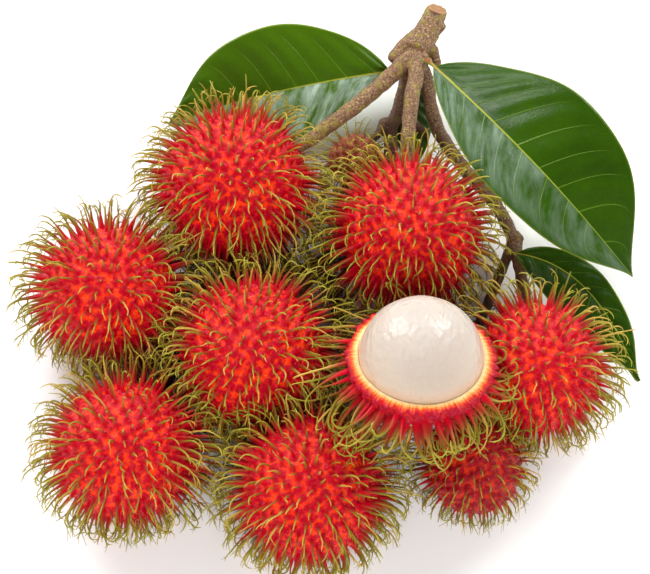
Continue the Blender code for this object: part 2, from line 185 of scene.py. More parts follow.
def stem_direction(centre):
    """From a fruit's centre to the end of its stalk."""
    away = np.linalg.norm(twig_points - centre, axis=1)
    return unit(twig_points[np.argsort(away)[:STALK_RING]].mean(axis=0) - centre)


def measure_fruit(name):
    points = node_points(name)
    centre = points.mean(axis=0)
    for _ in range(20):
        away = np.linalg.norm(points - centre, axis=1)
        rind_level = np.median(np.sort(away)[: len(away) // 3])
        centre, radius = fit_ball(points[away < 1.09 * rind_level])
    reach = np.percentile(np.linalg.norm(points - centre, axis=1), 97) - radius
    width = radius / Fruit.stretch ** (1 / 3)
    return Fruit(name, centre, width, stem_direction(centre), reach)


whole_fruits = [measure_fruit(name) for name in sorted(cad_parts) if name.startswith("fruit_")]
for fruit in whole_fruits:
    print(f"{fruit.name}: radius {fruit.radius / MM:.1f} mm, stiff spines {fruit.reach / MM:.1f} mm")

# %% [markdown]
# The opened fruit needs its own way of measuring. Its flesh was turned on a lathe in the solid
# model, so its longest direction is the axis. The bowl of rind is hollow: the largest empty ball
# that fits inside it, centred on that axis, has the radius of the inner wall.

# %% Measure the opened fruit
flesh_points = node_points("opened_flesh")
bowl_points = node_points("opened_rind")
flesh_middle = flesh_points.mean(axis=0)
bowl_axis = np.linalg.svd(flesh_points - flesh_middle)[2][0]
bowl_axis = bowl_axis * np.sign(bowl_axis[2])


def room_inside(height):
    """The distance from a point on the axis to the nearest corner of the bowl."""
    return np.linalg.norm(bowl_points - (flesh_middle + height * bowl_axis), axis=1).min()


bowl_level = max(np.arange(-12, 6, 0.05) * MM, key=room_inside)
bowl_centre = flesh_middle + bowl_level * bowl_axis
inner_radius = room_inside(bowl_level)
bowl_away = np.linalg.norm(bowl_points - bowl_centre, axis=1)
outer_radius = np.median(bowl_away[(bowl_away > 1.08 * inner_radius) & (bowl_away < 1.2 * inner_radius)])
rim_points = bowl_points[bowl_away < 1.03 * outer_radius]
rim_height = ((rim_points - bowl_centre) @ bowl_axis).max()
bowl_reach = np.percentile(bowl_away, 97) - outer_radius
opened = Fruit("opened_rind", bowl_centre, outer_radius, -bowl_axis, bowl_reach, stretch=1.0)

flesh_heights = (flesh_points - bowl_centre) @ bowl_axis
off_bowl_axis = flesh_points - bowl_centre - flesh_heights[:, None] * bowl_axis
flesh_radius = np.linalg.norm(off_bowl_axis, axis=1).max()
flesh_top, flesh_bottom = flesh_heights.max(), flesh_heights.min()
print(f"opened fruit: wall {inner_radius / MM:.1f} to {outer_radius / MM:.1f} mm, "
      f"rim {rim_height / MM:.1f} mm above its centre, flesh radius {flesh_radius / MM:.1f} mm, "
      f"flesh from {flesh_bottom / MM:.1f} to {flesh_top / MM:.1f} mm")

# %% [markdown]
# ## Tools for every piece
# Each piece becomes one mesh with smooth shading. The values that a material needs at each point,
# such as how near a spine's root is, are stored on the mesh as named attributes, so a material
# reads the real shape instead of guessing at it.


# %% Add one piece
def add_piece(name, points, faces, material, node, values=None):
    """A mesh piece that stands for a CAD node, with named values at its points."""
    mesh = bpy.data.meshes.new(name)
    mesh.from_pydata(np.asarray(points).tolist(), [], faces)
    mesh.shade_smooth()
    mesh.materials.append(material)
    for label, numbers in (values or {}).items():
        layer = mesh.attributes.new(label, "FLOAT", "POINT")
        layer.data.foreach_set("value", np.asarray(numbers, np.float32))
    piece = bpy.data.objects.new(name, mesh)
    bpy.context.scene.collection.objects.link(piece)
    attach(piece, "root")
    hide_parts(node)
    print(f"{name}: {len(mesh.vertices)} points, {len(mesh.polygons)} faces")
    return piece


def wall_faces(rows, columns):
    """The faces between rings of points; the last column joins the first."""
    row, column = np.meshgrid(np.arange(rows - 1), np.arange(columns), indexing="ij")
    beside = (column + 1) % columns
    here, ahead = row * columns, (row + 1) * columns
    corners = [here + column, here + beside, ahead + beside, ahead + column]
    return np.stack(corners, axis=-1).reshape(-1, 4)


def lumps(points, size, seed):
    """Smooth lumps of that size, from -1 to 1, at each point."""
    shift = Vector((seed, 2.7 * seed, 5.1 * seed))
    return np.array([mathutils_noise.noise(Vector(point) / size + shift) for point in points])


# %% [markdown]
# ## Tools for every material
# Colours are written as paint-chart values from 0 to 255 and turned into the linear values that a
# shader works with. A shader node is added with all its settings and links in one call.


# %% Write materials in short lines
def paint(red, green, blue):
    """A paint-chart colour as the linear colour of a shader."""
    shares = [part / 255 for part in (red, green, blue)]
    linear = [part / 12.92 if part <= 0.04045 else ((part + 0.055) / 1.055) ** 2.4 for part in shares]
    return (*linear, 1.0)


def add_node(tree, kind, inputs=None, **settings):
    """A node whose inputs are set to values or linked to other nodes' outputs."""
    made = tree.nodes.new("ShaderNode" + kind)
    for setting, value in settings.items():
        setattr(made, setting, value)
    for socket, value in (inputs or {}).items():
        if isinstance(value, bpy.types.NodeSocket):
            tree.links.new(value, made.inputs[socket])
        else:
            made.inputs[socket].default_value = value
    return made


def value_of(tree, label):
    """The named value stored on the mesh."""
    return add_node(tree, "Attribute", attribute_name=label).outputs["Fac"]


def ramp(tree, factor, *stops):
    """Colours laid out along factor: each stop is (place, colour)."""
    made = add_node(tree, "ValToRGB", {"Fac": factor})
    elements = made.color_ramp.elements
    while len(elements) < len(stops):
        elements.new(0.5)
    for element, (place, colour) in zip(elements, stops):
        element.position = place
        element.color = colour
    return made.outputs["Color"]


def blend_colours(tree, factor, first, second):
    """The second colour over the first, as strongly as factor says."""
    made = add_node(tree, "Mix", data_type="RGBA")
    for place, value in ((0, factor), (6, first), (7, second)):
        if isinstance(value, bpy.types.NodeSocket):
            tree.links.new(value, made.inputs[place])
        else:
            made.inputs[place].default_value = value
    return made.outputs[2]


def maths(tree, what, first, second=0.0, clamp=False):
    """One sum on two numbers or links."""
    made = add_node(tree, "Math", {0: first, 1: second}, operation=what)
    made.use_clamp = clamp
    return made.outputs["Value"]


def times(tree, first, second):
    return maths(tree, "MULTIPLY", first, second)


def plus(tree, first, second):
    return maths(tree, "ADD", first, second)


def stretch_range(tree, value, low, high, to_low=0.0, to_high=1.0):
    """Value as it goes from low to high, turned into a value from to_low to to_high."""
    inputs = {"Value": value, "From Min": low, "From Max": high, "To Min": to_low, "To Max": to_high}
    return add_node(tree, "MapRange", inputs).outputs["Result"]


def spread(tree, mask, low, high):
    """A mask from 0 to 1, turned into a value from low to high."""
    return stretch_range(tree, mask, 0.0, 1.0, low, high)


def place_of(tree):
    """Where the surface is in space."""
    return add_node(tree, "TexCoord").outputs["Object"]


SOCKET_NAMES = {"specular_ior_level": "Specular IOR Level"}


def new_material(name, **plain):
    """A material, its node tree and its Principled shader, with the plain settings made."""
    material = bpy.data.materials.new(name)
    material.use_nodes = True
    shader = material.node_tree.nodes["Principled BSDF"]
    for setting, value in plain.items():
        shader.inputs[SOCKET_NAMES.get(setting, setting.replace("_", " ").title())].default_value = value
    return material, material.node_tree, shader


print("tools are ready")

# %% [markdown]
# ## Shared effects
# Everything that grew has small uneven patches of colour, so one effect makes them for all: a
# coarse cloud, a fine cloud and the height of a slightly rough skin. Bark and leaves also carry
# small separate specks, which are the pores and the spots of age. Both effects are node groups
# with named inputs and put out only masks and heights; each material decides what they do.


# %% Make the shared node groups
def new_group(name, inputs, outputs):
    """A node group with named sockets. Returns it with its first and last node."""
    group = bpy.data.node_groups.new(name, "ShaderNodeTree")
    for label, kind, default in inputs:
        socket = group.interface.new_socket(label, in_out="INPUT", socket_type=kind)
        if default is not None:
            socket.default_value = default
    for label in outputs:
        group.interface.new_socket(label, in_out="OUTPUT", socket_type="NodeSocketFloat")
    return group, group.nodes.new("NodeGroupInput"), group.nodes.new("NodeGroupOutput")


def noise(tree, place, scale, detail=3.0, roughness=0.5):
    inputs = {"Vector": place, "Scale": scale, "Detail": detail, "Roughness": roughness}
    return add_node(tree, "TexNoise", inputs).outputs["Fac"]


patches, start, end = new_group(
    "natural_patches",
    [("Place", "NodeSocketVector", None), ("Patches per metre", "NodeSocketFloat", 150.0)],
    ["Patch", "Fine patch", "Skin height"],
)
patch_scale = start.outputs["Patches per metre"]
coarse = noise(patches, start.outputs["Place"], patch_scale, 3.0)
fine = noise(patches, start.outputs["Place"], times(patches, patch_scale, 6.0), 4.0, 0.6)
finest = noise(patches, start.outputs["Place"], times(patches, patch_scale, 22.0), 2.0)
patches.links.new(stretch_range(patches, coarse, 0.3, 0.7), end.inputs["Patch"])
patches.links.new(stretch_range(patches, fine, 0.3, 0.7), end.inputs["Fine patch"])
skin_height = plus(patches, times(patches, fine, 0.7), times(patches, finest, 0.3))
patches.links.new(skin_height, end.inputs["Skin height"])

specks, start, end = new_group(
    "specks",
    [
        ("Place", "NodeSocketVector", None),
        ("Specks per metre", "NodeSocketFloat", 600.0),
        ("Share", "NodeSocketFloat", 0.3),
    ],
    ["Speck"],
)
cell_inputs = {"Vector": start.outputs["Place"], "Scale": start.outputs["Specks per metre"]}
cells = add_node(specks, "TexVoronoi", cell_inputs)
lot = add_node(specks, "SeparateColor", {0: cells.outputs["Color"]}).outputs[0]
is_chosen = maths(specks, "LESS_THAN", lot, start.outputs["Share"])
near_middle = stretch_range(specks, cells.outputs["Distance"], 0.42, 0.22)
specks.links.new(times(specks, near_middle, is_chosen), end.inputs["Speck"])


def use_group(tree, group, **inputs):
    """Place a shared effect in a material, with its own values."""
    made = add_node(tree, "Group", node_tree=group)
    tree.links.new(place_of(tree), made.inputs["Place"])
    for label, value in inputs.items():
        made.inputs[label.replace("_", " ")].default_value = value
    return made.outputs


def use_bump(tree, shader, height, distance, strength):
    """Let the height shade the surface as if it stood out by distance."""
    bump = add_node(tree, "Bump", {"Height": height, "Distance": distance, "Strength": strength})
    tree.links.new(bump.outputs["Normal"], shader.inputs["Normal"])


print("node groups:", [group.name for group in bpy.data.node_groups])

# %% [markdown]
# ## Table top
# The table is matt and almost white. A trace of the same natural patches keeps it from looking
# like empty paper.

# %% Paint the table
table_paint, tree, shader = new_material("table_paint", roughness=0.85)
cloud = use_group(tree, patches, Patches_per_metre=9.0)
table_colour = blend_colours(tree, cloud["Patch"], paint(250, 250, 249), paint(247, 247, 246))
tree.links.new(table_colour, shader.inputs["Base Color"])
table.data.materials.append(table_paint)
print("the table is painted")

# %% [markdown]
# ## The rind
# The rind of a ripe rambutan is a leathery skin covered in low bumps, one under each spine, with
# fine furrows where neighbouring bumps meet. A bump texture alone would leave the outline smooth,
# so the relief is real: a dense ball is raised at each root and lowered in each furrow. The roots
# are spread by turning a golden angle from one to the next, as seeds are spread in a sunflower,
# and each is then pushed a little off its place.

# %% Spread the spine roots
ROOT_SPACING = 3.35 * MM
ROOT_DISORDER = 0.13  # as a share of the spacing
STALK_CLEARING = 0.955  # the cosine of the bare cap round the stalk
GOLDEN_ANGLE = math.pi * (3 - math.sqrt(5))


def ball_direction(count):
    """Evenly spread directions."""
    index = np.arange(count) + 0.5
    height = 1 - 2 * index / count
    across = np.sqrt(1 - height**2)
    return np.c_[across * np.cos(GOLDEN_ANGLE * index), across * np.sin(GOLDEN_ANGLE * index), height]


def spread_roots(radius, rng, spacing=ROOT_SPACING):
    """Directions of the spine roots on a ball, in no particular frame."""
    count = round(4 * math.pi * radius**2 / (spacing**2 * math.sqrt(3) / 2))
    turn = np.linalg.qr(rng.normal(size=(3, 3)))[0]
    push = rng.normal(size=(count, 3)) * ROOT_DISORDER * spacing / radius
    return unit(ball_direction(count) @ turn + push)


def on_rind(fruit, directions):
    """Points of the smooth rind: a ball drawn out along the stalk."""
    along = (directions @ fruit.stalk)[:, None] * fruit.stalk
    return fruit.centre + fruit.radius * (directions + (fruit.stretch - 1) * along)


def straight_out(fruit, directions):
    """The directions in which the rind faces there."""
    along = (directions @ fruit.stalk)[:, None] * fruit.stalk
    return unit(directions + (1 / fruit.stretch - 1) * along)


print("a full-size fruit has", len(spread_roots(20 * MM, np.random.default_rng(1))), "roots")

# %% [markdown]
# Between the bumps the skin is pebbled with tiny warts, a little over a millimetre apart. Bumps
# and warts are made in the same way, from two distances: to the nearest root or wart, and how much
# farther the second nearest is. The first raises it, and where the second is near zero two of them
# meet in a furrow. The masks that colour the skin are kept on the mesh for the material, and so is
# a random tint for each wart, because on the real skin some are crimson and others orange.

# %% Raise the bumps and warts and sink the furrows
BUMP_HEIGHT = 0.8 * MM
BUMP_WIDTH = 1.05 * MM
FURROW_DEPTH = 0.18 * MM
FURROW_WIDTH = 0.6 * MM
WART_SPACING = 1.3 * MM
WART_HEIGHT = 0.3 * MM
WART_WIDTH = 0.62 * WART_SPACING
WART_GAP = 0.22 * MM
SEAM_DEPTH = 0.6  # of a wart's height that is lost where two meet
BLUSH_WIDTH = 1.75 * BUMP_WIDTH
LEAST_HEIGHT = 0.2 * MM  # everything stays above the table


def two_nearest(directions, seeds, radius):
    """For each direction, its distances to the two nearest seeds and the nearest one's number."""
    tree = KDTree(len(seeds))
    for number, seed in enumerate(seeds):
        tree.insert(seed, number)
    tree.balance()
    found = [tree.find_n(direction, 2) for direction in directions]
    near, far, number = np.array([(first[2], second[2], first[1]) for first, second in found]).T
    return radius * near, radius * far, number.astype(int)


def rind_relief(directions, roots, radius, rng):
    """The height over the smooth rind, and the masks that the material needs."""
    to_root, to_next, _ = two_nearest(directions, roots, radius)
    bump = np.exp(-((to_root / BUMP_WIDTH) ** 2))
    furrow = np.exp(-(((to_next - to_root) / FURROW_WIDTH) ** 2))
    warts = spread_roots(radius, rng, WART_SPACING)
    to_wart, to_next_wart, number = two_nearest(directions, warts, radius)
    height = rng.uniform(0.3, 1.0, len(warts))[number]
    tint = rng.random(len(warts))[number]
    dome = 1 - np.clip(to_wart / WART_WIDTH, 0, 1) ** 2
    seam = np.exp(-(((to_next_wart - to_wart) / WART_GAP) ** 2))
    wart = WART_HEIGHT * height * dome * (1 - SEAM_DEPTH * seam)
    relief = BUMP_HEIGHT * bump - FURROW_DEPTH * furrow + wart
    blush = np.exp(-((to_root / BLUSH_WIDTH) ** 2))
    return relief, {"blush": blush, "seam": seam, "wart": tint}


# %% Make one ball that every fruit starts from
def make_unit_ball():
    """The points and faces of a ball of radius 1, almost evenly dense."""
    ball = bmesh.new()
    bmesh.ops.create_icosphere(ball, subdivisions=7, radius=1)
    points = np.array([point.co for point in ball.verts], float)
    faces = [[corner.index for corner in face.verts] for face in ball.faces]
    ball.free()
    return unit(points), faces


ball_points, ball_faces = make_unit_ball()
print(f"the unit ball has {len(ball_faces)} faces")

# %% [markdown]
# ## Finish of the rind
# A ripe rind is orange-red with a crimson blush round the root of each spine and paler orange
# threads between the warts. It is waxy, so a small highlight sits on every wart. The side that
# turns up towards the lamps is painted more orange, as painted light. The colours follow the masks
# that were stored on the mesh, and the shared patches break them up. The small fruit at the lower
# right lies in the shadow of the others, and that shadow is painted into its rind as a darker,
# duller red. The undeveloped one at the back is still greenish.


# %% Make the rind materials
def make_rind_material(name, skin, sunny_skin, spot, thread):
    """A rind: its plain skin, its skin where painted light falls, the spots round the roots, and the
    threads.
    """
    material, tree, shader = new_material(name, specular_ior_level=0.24)
    cloud = use_group(tree, patches, Patches_per_metre=170.0)
    # Painted light: the side turned up towards the lamps is painted more orange.
    ground = blend_colours(tree, value_of(tree, "sunny"), skin, sunny_skin)
    ground = blend_colours(tree, times(tree, cloud["Patch"], 0.35), ground, skin)
    wart_lean = spread(tree, value_of(tree, "wart"), -0.32, 0.32)
    grain = spread(tree, cloud["Fine patch"], -0.3, 0.3)
    spot_mask = plus(tree, value_of(tree, "blush"), plus(tree, wart_lean, grain))
    spot_mask = stretch_range(tree, spot_mask, 0.18, 0.66)
    with_spots = blend_colours(tree, spot_mask, ground, spot)
    far_from_root = stretch_range(tree, value_of(tree, "blush"), 0.55, 0.1)
    thread_mask = times(tree, value_of(tree, "seam"), far_from_root)
    thread_mask = times(tree, thread_mask, cloud["Fine patch"])
    with_threads = blend_colours(tree, times(tree, thread_mask, 0.9), with_spots, thread)
    tree.links.new(with_threads, shader.inputs["Base Color"])
    gloss = spread(tree, cloud["Fine patch"], 0.16, 0.36)
    tree.links.new(gloss, shader.inputs["Roughness"])
    use_bump(tree, shader, cloud["Skin height"], 0.7 * MM, 0.9)
    return material


ripe_rind = make_rind_material(
    "ripe_rind",
    skin=paint(248, 12, 10),
    sunny_skin=paint(255, 62, 16),
    spot=paint(190, 0, 34),
    thread=paint(255, 140, 50),
)
green_rind = make_rind_material(
    "green_rind",
    skin=paint(150, 140, 60),
    sunny_skin=paint(190, 150, 60),
    spot=paint(150, 70, 50),
    thread=paint(200, 190, 100),
)
# Painted shade: the small fruit at the lower right lies in the shadow of the others, so its rind is
# painted a darker, duller red.
dull_rind = make_rind_material(
    "dull_rind",
    skin=paint(176, 20, 12),
    sunny_skin=paint(206, 44, 18),
    spot=paint(140, 8, 26),
    thread=paint(214, 100, 44),
)
print("rind materials are ready")

# %% [markdown]
# ## The spines
# Each spine is a soft, fleshy hair: a crimson cone at the root that soon turns into a thin
# yellow-green strand with a few kinks, and most of them hook over to one side. Hair particles
# would give them all the same thickness and no solid mesh, so every spine is a tapering tube laid
# round its own centre line. All lines of a fruit grow together, one short step at a time: the
# heading turns over from straight out towards the way the fruit has hung, and wanders more near
# the tip. Neighbours cling together, so a slowly varying field of lumps says to which side the
# spines of one spot hook over.

# %% Say how a spine grows
SPINE_STEPS = 15
HANGING = unit(np.array([0.0, -0.90, -0.42]))  # the way the spines have sagged
SPINE_LENGTH = 1.16  # over the reach of the stiff spines of the solid model
LENGTH_SPREAD = (0.8, 1.15)  # from spine to spine
FIRM_SHARE = 0.8  # of the spines stay fairly straight up to the tip's curl
FIRM_BEND = (16, 62)  # degrees by which the tip has turned over
SLACK_BEND = (70, 115)
BEND_ONSET = 1.7  # the higher, the later a spine turns over
TUFT_SIZE = 8 * MM  # neighbours hook over to the same side
TUFT_LOOSENESS = 0.18
TIP_CURL = (-20, 125)  # degrees more over the last third
CURL_FROM = 0.66  # of the length
UPRIGHT_STIFFNESS = 0.72  # what points up stands on its own and bends less
LOWER_SHORTFALL = 0.3  # spines that point down the bunch are shorter
INNER_GROWTH = 0.7  # those that point into it are longer, because nothing wears them off
UPPER_WEAR = 0.3  # and those on top are the most worn
KINK_CHANCE = 0.3  # at each step of the outer part
KINK = 0.24
KINK_FROM = 0.3  # of the length
KINK_MEMORY = 0.93  # of a kink's lean is left at the next step
FREE_ROOT = 0.25  # of the length is not pushed aside by neighbours
RIND_MARGIN = 1.0 * MM  # spines stay this far off any rind
OWN_MARGIN = 0.9 * MM  # or this far off their own
SKIN_MARGIN = 0.7 * MM  # and this far off leaves, twig and flesh
ROOT_DEPTH = 0.4 * MM

every_fruit = whole_fruits + [opened]
bunch_middle = np.mean([fruit.centre for fruit in every_fruit], axis=0) * (1, 1, 0.4)  # low down
solids_in_the_way = [
    BVHTree.FromPolygons(
        [corner.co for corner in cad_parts[name].data.vertices],
        [face.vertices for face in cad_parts[name].data.polygons],
    )
    for name in sorted(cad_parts)
    if name == "twig" or name.startswith("leaf_") or name == "opened_flesh"
]


def keep_off_balls(points, owner):
    """Push points out of every rind."""
    for other in every_fruit:
        margin = OWN_MARGIN if other is owner else RIND_MARGIN
        from_centre = points - other.centre
        along = (from_centre @ other.stalk)[:, None] * other.stalk
        round_off = from_centre - (1 - 1 / other.stretch) * along
        away = np.linalg.norm(round_off, axis=1)
        inside = away < other.radius + margin
        points[inside] += unit(from_centre[inside]) * (other.radius + margin - away[inside])[:, None]
    return points


def keep_off_skins(points):
    """Push points out of the leaves, the twig and the flesh."""
    for number, point in enumerate(points):
        for solid in solids_in_the_way:
            nearest, facing, _, away = solid.find_nearest(Vector(point), 3 * MM)
            if nearest is None:
                continue
            is_inside = (Vector(point) - nearest).dot(facing) < 0
            if is_inside or away < SKIN_MARGIN:
                points[number] = nearest + facing * SKIN_MARGIN
    return points


def grow_lines(fruit, directions, length, rng, firm_share=FIRM_SHARE, disorder=(0.2, 0.8)):
    """The centre lines of a fruit's spines, each SPINE_STEPS points long."""
    count = len(directions)
    outward = straight_out(fruit, directions)
    roots = on_rind(fruit, directions)
    tuft = np.stack([lumps(roots, TUFT_SIZE, seed) for seed in (11, 12, 13)], axis=1)
    sideways = unit(np.cross(outward, tuft + TUFT_LOOSENESS * rng.normal(size=(count, 3))))
    sag = HANGING - (outward @ HANGING)[:, None] * outward
    over = unit(sag + sideways * rng.uniform(*disorder, (count, 1)))
    is_firm = rng.random(count) < firm_share
    bend = np.radians(np.where(is_firm, rng.uniform(*FIRM_BEND, count), rng.uniform(*SLACK_BEND, count)))
    curl = np.radians(rng.uniform(*TIP_CURL, count))
    stiffer = 1 - UPRIGHT_STIFFNESS * np.maximum(outward[:, 2], 0) ** 2
    bend, curl = bend * stiffer, curl * stiffer
    step_length = length * rng.uniform(*LENGTH_SPREAD, count) / (SPINE_STEPS - 1)
    step_length *= 1 - LOWER_SHORTFALL * np.clip(-outward[:, 1] - 0.25, 0, 1)
    upward = np.maximum(outward[:, 2], 0)
    inward = np.clip(outward @ unit(bunch_middle - fruit.centre), 0, 1) * np.clip(1 - 1.5 * upward, 0, 1)
    step_length *= (1 + INNER_GROWTH * inward) * (1 - UPPER_WEAR * upward**3)
    point = roots - ROOT_DEPTH * outward
    lines = [point]
    wander = np.zeros((count, 3))
    for step in range(1, SPINE_STEPS):
        share = step / (SPINE_STEPS - 1)
        curled = max(0.0, (share - CURL_FROM) / (1 - CURL_FROM))
        turned = (bend * share**BEND_ONSET + curl * curled)[:, None]
        looseness = KINK * max(0.0, (share - KINK_FROM) / (1 - KINK_FROM))
        kinks = (rng.random(count) < KINK_CHANCE)[:, None]
        wander = np.where(kinks, rng.normal(size=(count, 3)) * looseness, KINK_MEMORY * wander)
        heading = unit(np.cos(turned) * outward + np.sin(turned) * over + wander)
        point = point + heading * step_length[:, None]
        if share > FREE_ROOT:
            point = keep_off_skins(keep_off_balls(point.copy(), fruit))
        point[:, 2] = np.maximum(point[:, 2], 2 * LEAST_HEIGHT)
        lines.append(point)
    return np.stack(lines, axis=1)


print(f"a full-size fruit's spines are about {SPINE_LENGTH * whole_fruits[0].reach / MM:.0f} mm long")

# %% [markdown]
# A tube needs a ring of points round each step of its line. The rings must not spin from one step
# to the next, so each ring carries the sideways direction of the ring before it and only takes
# away the part that now points along the line. The root ring is sunk into the rind, where the
# spine flares into its bump.

# %% Turn lines into tapering tubes
SPINE_SIDES = 6
TAPER_PLACES = [0, 0.1, 0.25, 0.42, 0.72, 0.93, 1]
TAPER_RADII = np.array([1.1, 0.7, 0.42, 0.29, 0.22, 0.14, 0.06]) * MM


def lay_rings(lines, radii, sides):
    """Rings of points round centre lines: lines x steps x sides."""
    heading = unit(np.gradient(lines, axis=1))
    side = unit(np.cross(heading[:, 0], [0.31, 0.52, 0.79]))
    angles = np.linspace(0, 2 * math.pi, sides, endpoint=False)
    rings = []
    for step in range(lines.shape[1]):
        ahead = heading[:, step]
        side = unit(side - (side * ahead).sum(axis=1, keepdims=True) * ahead)
        other_side = np.cross(ahead, side)
        round_off = np.cos(angles)[:, None] * side[:, None] + np.sin(angles)[:, None] * other_side[:, None]
        rings.append(lines[:, step, None] + radii[:, step, None, None] * round_off)
    return np.stack(rings, axis=1)


def tube_mesh(lines, radii, sides, along, label):
    """Points, faces, and for each point how far along it is and its line's label."""
    count, steps = lines.shape[:2]
    rings = lay_rings(lines, radii, sides)
    points = rings.reshape(-1, 3)
    points[:, 2] = np.maximum(points[:, 2], LEAST_HEIGHT)
    wall = wall_faces(steps, sides)
    starts = np.arange(count) * steps * sides
    faces = (wall[None] + starts[:, None, None]).reshape(-1, 4).tolist()
    root_cap = np.arange(sides)[::-1]
    tip_cap = np.arange(sides) + (steps - 1) * sides
    faces += (root_cap + starts[:, None]).tolist() + (tip_cap + starts[:, None]).tolist()
    values = {
        "along": np.repeat(along.reshape(-1), sides),
        "tint": np.repeat(label, steps * sides),
    }
    return points, faces, values


print(f"a spine is a tube of {SPINE_STEPS} rings with {SPINE_SIDES} sides")

# %% [markdown]
# Many spines fork, or carry a few side hairs. They are what makes a heap of rambutan look shaggy,
# and they are simply thinner tubes that leave a spine somewhere beyond its first third and hook
# over the way it has hung. Spines that stand upright carry fewer.

# %% Grow the side hairs
HAIR_STEPS = 5
HAIR_SIDES = 3
HAIRS_PER_SPINE = 2.2
HAIR_LENGTH = (0.9 * MM, 2.6 * MM)


def grow_hairs(lines, radii, label, rng):
    """Forks and hairs on the outer parts of the spines, as a tube mesh."""
    count = round(HAIRS_PER_SPINE * len(lines))
    hairiness = 1.2 - np.maximum(unit(lines[:, 3] - lines[:, 0])[:, 2], 0)
    spine = rng.choice(len(lines), count, p=hairiness / hairiness.sum())
    step = rng.integers(int(0.36 * SPINE_STEPS), SPINE_STEPS - 2, count)
    start = lines[spine, step]
    ahead = unit(lines[spine, step + 1] - start)
    aside = unit(np.cross(ahead, rng.normal(size=(count, 3))))
    length = rng.uniform(*HAIR_LENGTH, count)
    shares = np.linspace(0, 1, HAIR_STEPS)
    lean = rng.uniform(0.15, 0.8, count)
    hook = 0.5 * HANGING + 0.4 * rng.normal(size=(count, 3))
    hair = start[:, None] + length[:, None, None] * shares[None, :, None] * (
        unit(ahead + lean[:, None] * aside)[:, None] + shares[None, :, None] * hook[:, None]
    )
    hair[:, :, 2] = np.maximum(hair[:, :, 2], 2 * LEAST_HEIGHT)
    hair_radii = radii[spine, step][:, None] * np.linspace(0.85, 0.3, HAIR_STEPS)[None]
    along = np.linspace(0, 0.1, HAIR_STEPS)[None] + (step / (SPINE_STEPS - 1))[:, None]
    return tube_mesh(hair, hair_radii, HAIR_SIDES, np.minimum(along, 1), label[spine])


# %% Join a fruit's spines and hairs into one piece
def make_spines(fruit, directions, material, slot, rng, growth=1.0, girth=1.0, redness=1.0, **habit):
    """All spines of one fruit as one piece. The lower the redness, the sooner they turn green."""
    lines = grow_lines(fruit, directions, growth * SPINE_LENGTH * fruit.reach, rng, **habit)
    shares = np.linspace(0, 1, SPINE_STEPS)
    thickness = girth * rng.uniform(0.82, 1.15, (len(lines), 1)) * (fruit.radius / (20 * MM)) ** 0.5
    radii = np.interp(shares, TAPER_PLACES, TAPER_RADII)[None] * thickness
    radii[:, 4:] *= 1 + 0.16 * rng.normal(size=radii[:, 4:].shape)
    label = rng.random(len(lines))
    along = np.tile(shares**redness, len(lines))
    points, faces, values = tube_mesh(lines, radii, SPINE_SIDES, along, label)
    hair_points, hair_faces, hair_values = grow_hairs(lines, radii, label, rng)
    faces += [[corner + len(points) for corner in face] for face in hair_faces]
    values = {key: np.r_[values[key], hair_values[key]] for key in values}
    name = fruit.name.replace("_rind", "") + "_spines"
    spines = add_piece(name, np.vstack([points, hair_points]), faces, material, fruit.name, values)
    add_strip_map(spines, values)


print(f"there are {HAIRS_PER_SPINE} side hairs to a spine")

# %% [markdown]
# Unwrapping thousands of thin tubes would waste a texture on their seams. All that a spine's
# colour needs is how far along it a point is and which spine it belongs to, so those two numbers
# are used as its texture map.


# %% Map the spines for baking
STRIP_WIDTH = 0.002


def add_strip_map(piece, values):
    """A texture map whose width is the spine's label and whose height is the way along it."""
    corners = np.empty(len(piece.data.loops), np.int64)
    piece.data.loops.foreach_get("vertex_index", corners)
    wiggle = (corners % SPINE_SIDES) / SPINE_SIDES * STRIP_WIDTH
    places = np.c_[values["tint"][corners] * 0.99 + wiggle, values["along"][corners]]
    layer = piece.data.uv_layers.new(name="OFBake")
    layer.uv.foreach_set("vector", places.astype(np.float32).ravel())


print(f"each spine's strip is {STRIP_WIDTH:.1%} of its texture wide")

# %% [markdown]
# ## Finish of the spines
# A spine is crimson at its root, wine-brown by its first third, olive half-way, and its thin end is
# yellow-green or straw yellow, different from spine to spine. It is moist and slightly shiny. Low
# down in the middle of the bunch the spines lie in shade, and that shade is painted on them as brown.

# %% Make the spine materials
SHADE_REACH = (66 * MM, 46 * MM)  # from the middle of the bunch: where it begins, where it is full
SHADE_LEVELS = (17 * MM, 7 * MM)


def make_spine_material(name, root, middle, olive, tip, straw):
    """A spine: its colours from root to tip, and the straw colour of the drier tips."""
    material, tree, shader = new_material(name, specular_ior_level=0.2)
    along, tint = value_of(tree, "along"), value_of(tree, "tint")
    uneven = use_group(tree, patches, Patches_per_metre=260.0)
    shifted = plus(tree, along, spread(tree, tint, -0.09, 0.11))
    shifted = plus(tree, shifted, spread(tree, uneven["Patch"], -0.04, 0.04))
    stops = [(0.0, root), (0.13, root), (0.31, middle), (0.5, olive), (1.0, tip)]
    green = ramp(tree, shifted, *stops)
    golden = ramp(tree, shifted, *stops[:3], (0.5, straw), (1.0, straw))
    colour = blend_colours(tree, stretch_range(tree, tint, 0.7, 1.0), green, golden)
    place = add_node(tree, "SeparateXYZ", {"Vector": place_of(tree)}).outputs
    flat_place = add_node(tree, "CombineXYZ", {"X": place["X"], "Y": place["Y"], "Z": 0.0}).outputs[0]
    both_places = {0: flat_place, 1: tuple(bunch_middle * (1, 1, 0))}
    off_middle = add_node(tree, "VectorMath", both_places, operation="DISTANCE").outputs["Value"]
    is_inside = stretch_range(tree, off_middle, *SHADE_REACH)
    # Painted shade: spines low down in the middle of the bunch are darkened towards dark brown.
    painted_shade = times(tree, is_inside, stretch_range(tree, place["Z"], *SHADE_LEVELS))
    colour = blend_colours(tree, times(tree, painted_shade, 0.75), colour, paint(66, 44, 14))
    tree.links.new(colour, shader.inputs["Base Color"])
    gloss = spread(tree, uneven["Fine patch"], 0.34, 0.55)
    tree.links.new(gloss, shader.inputs["Roughness"])
    return material


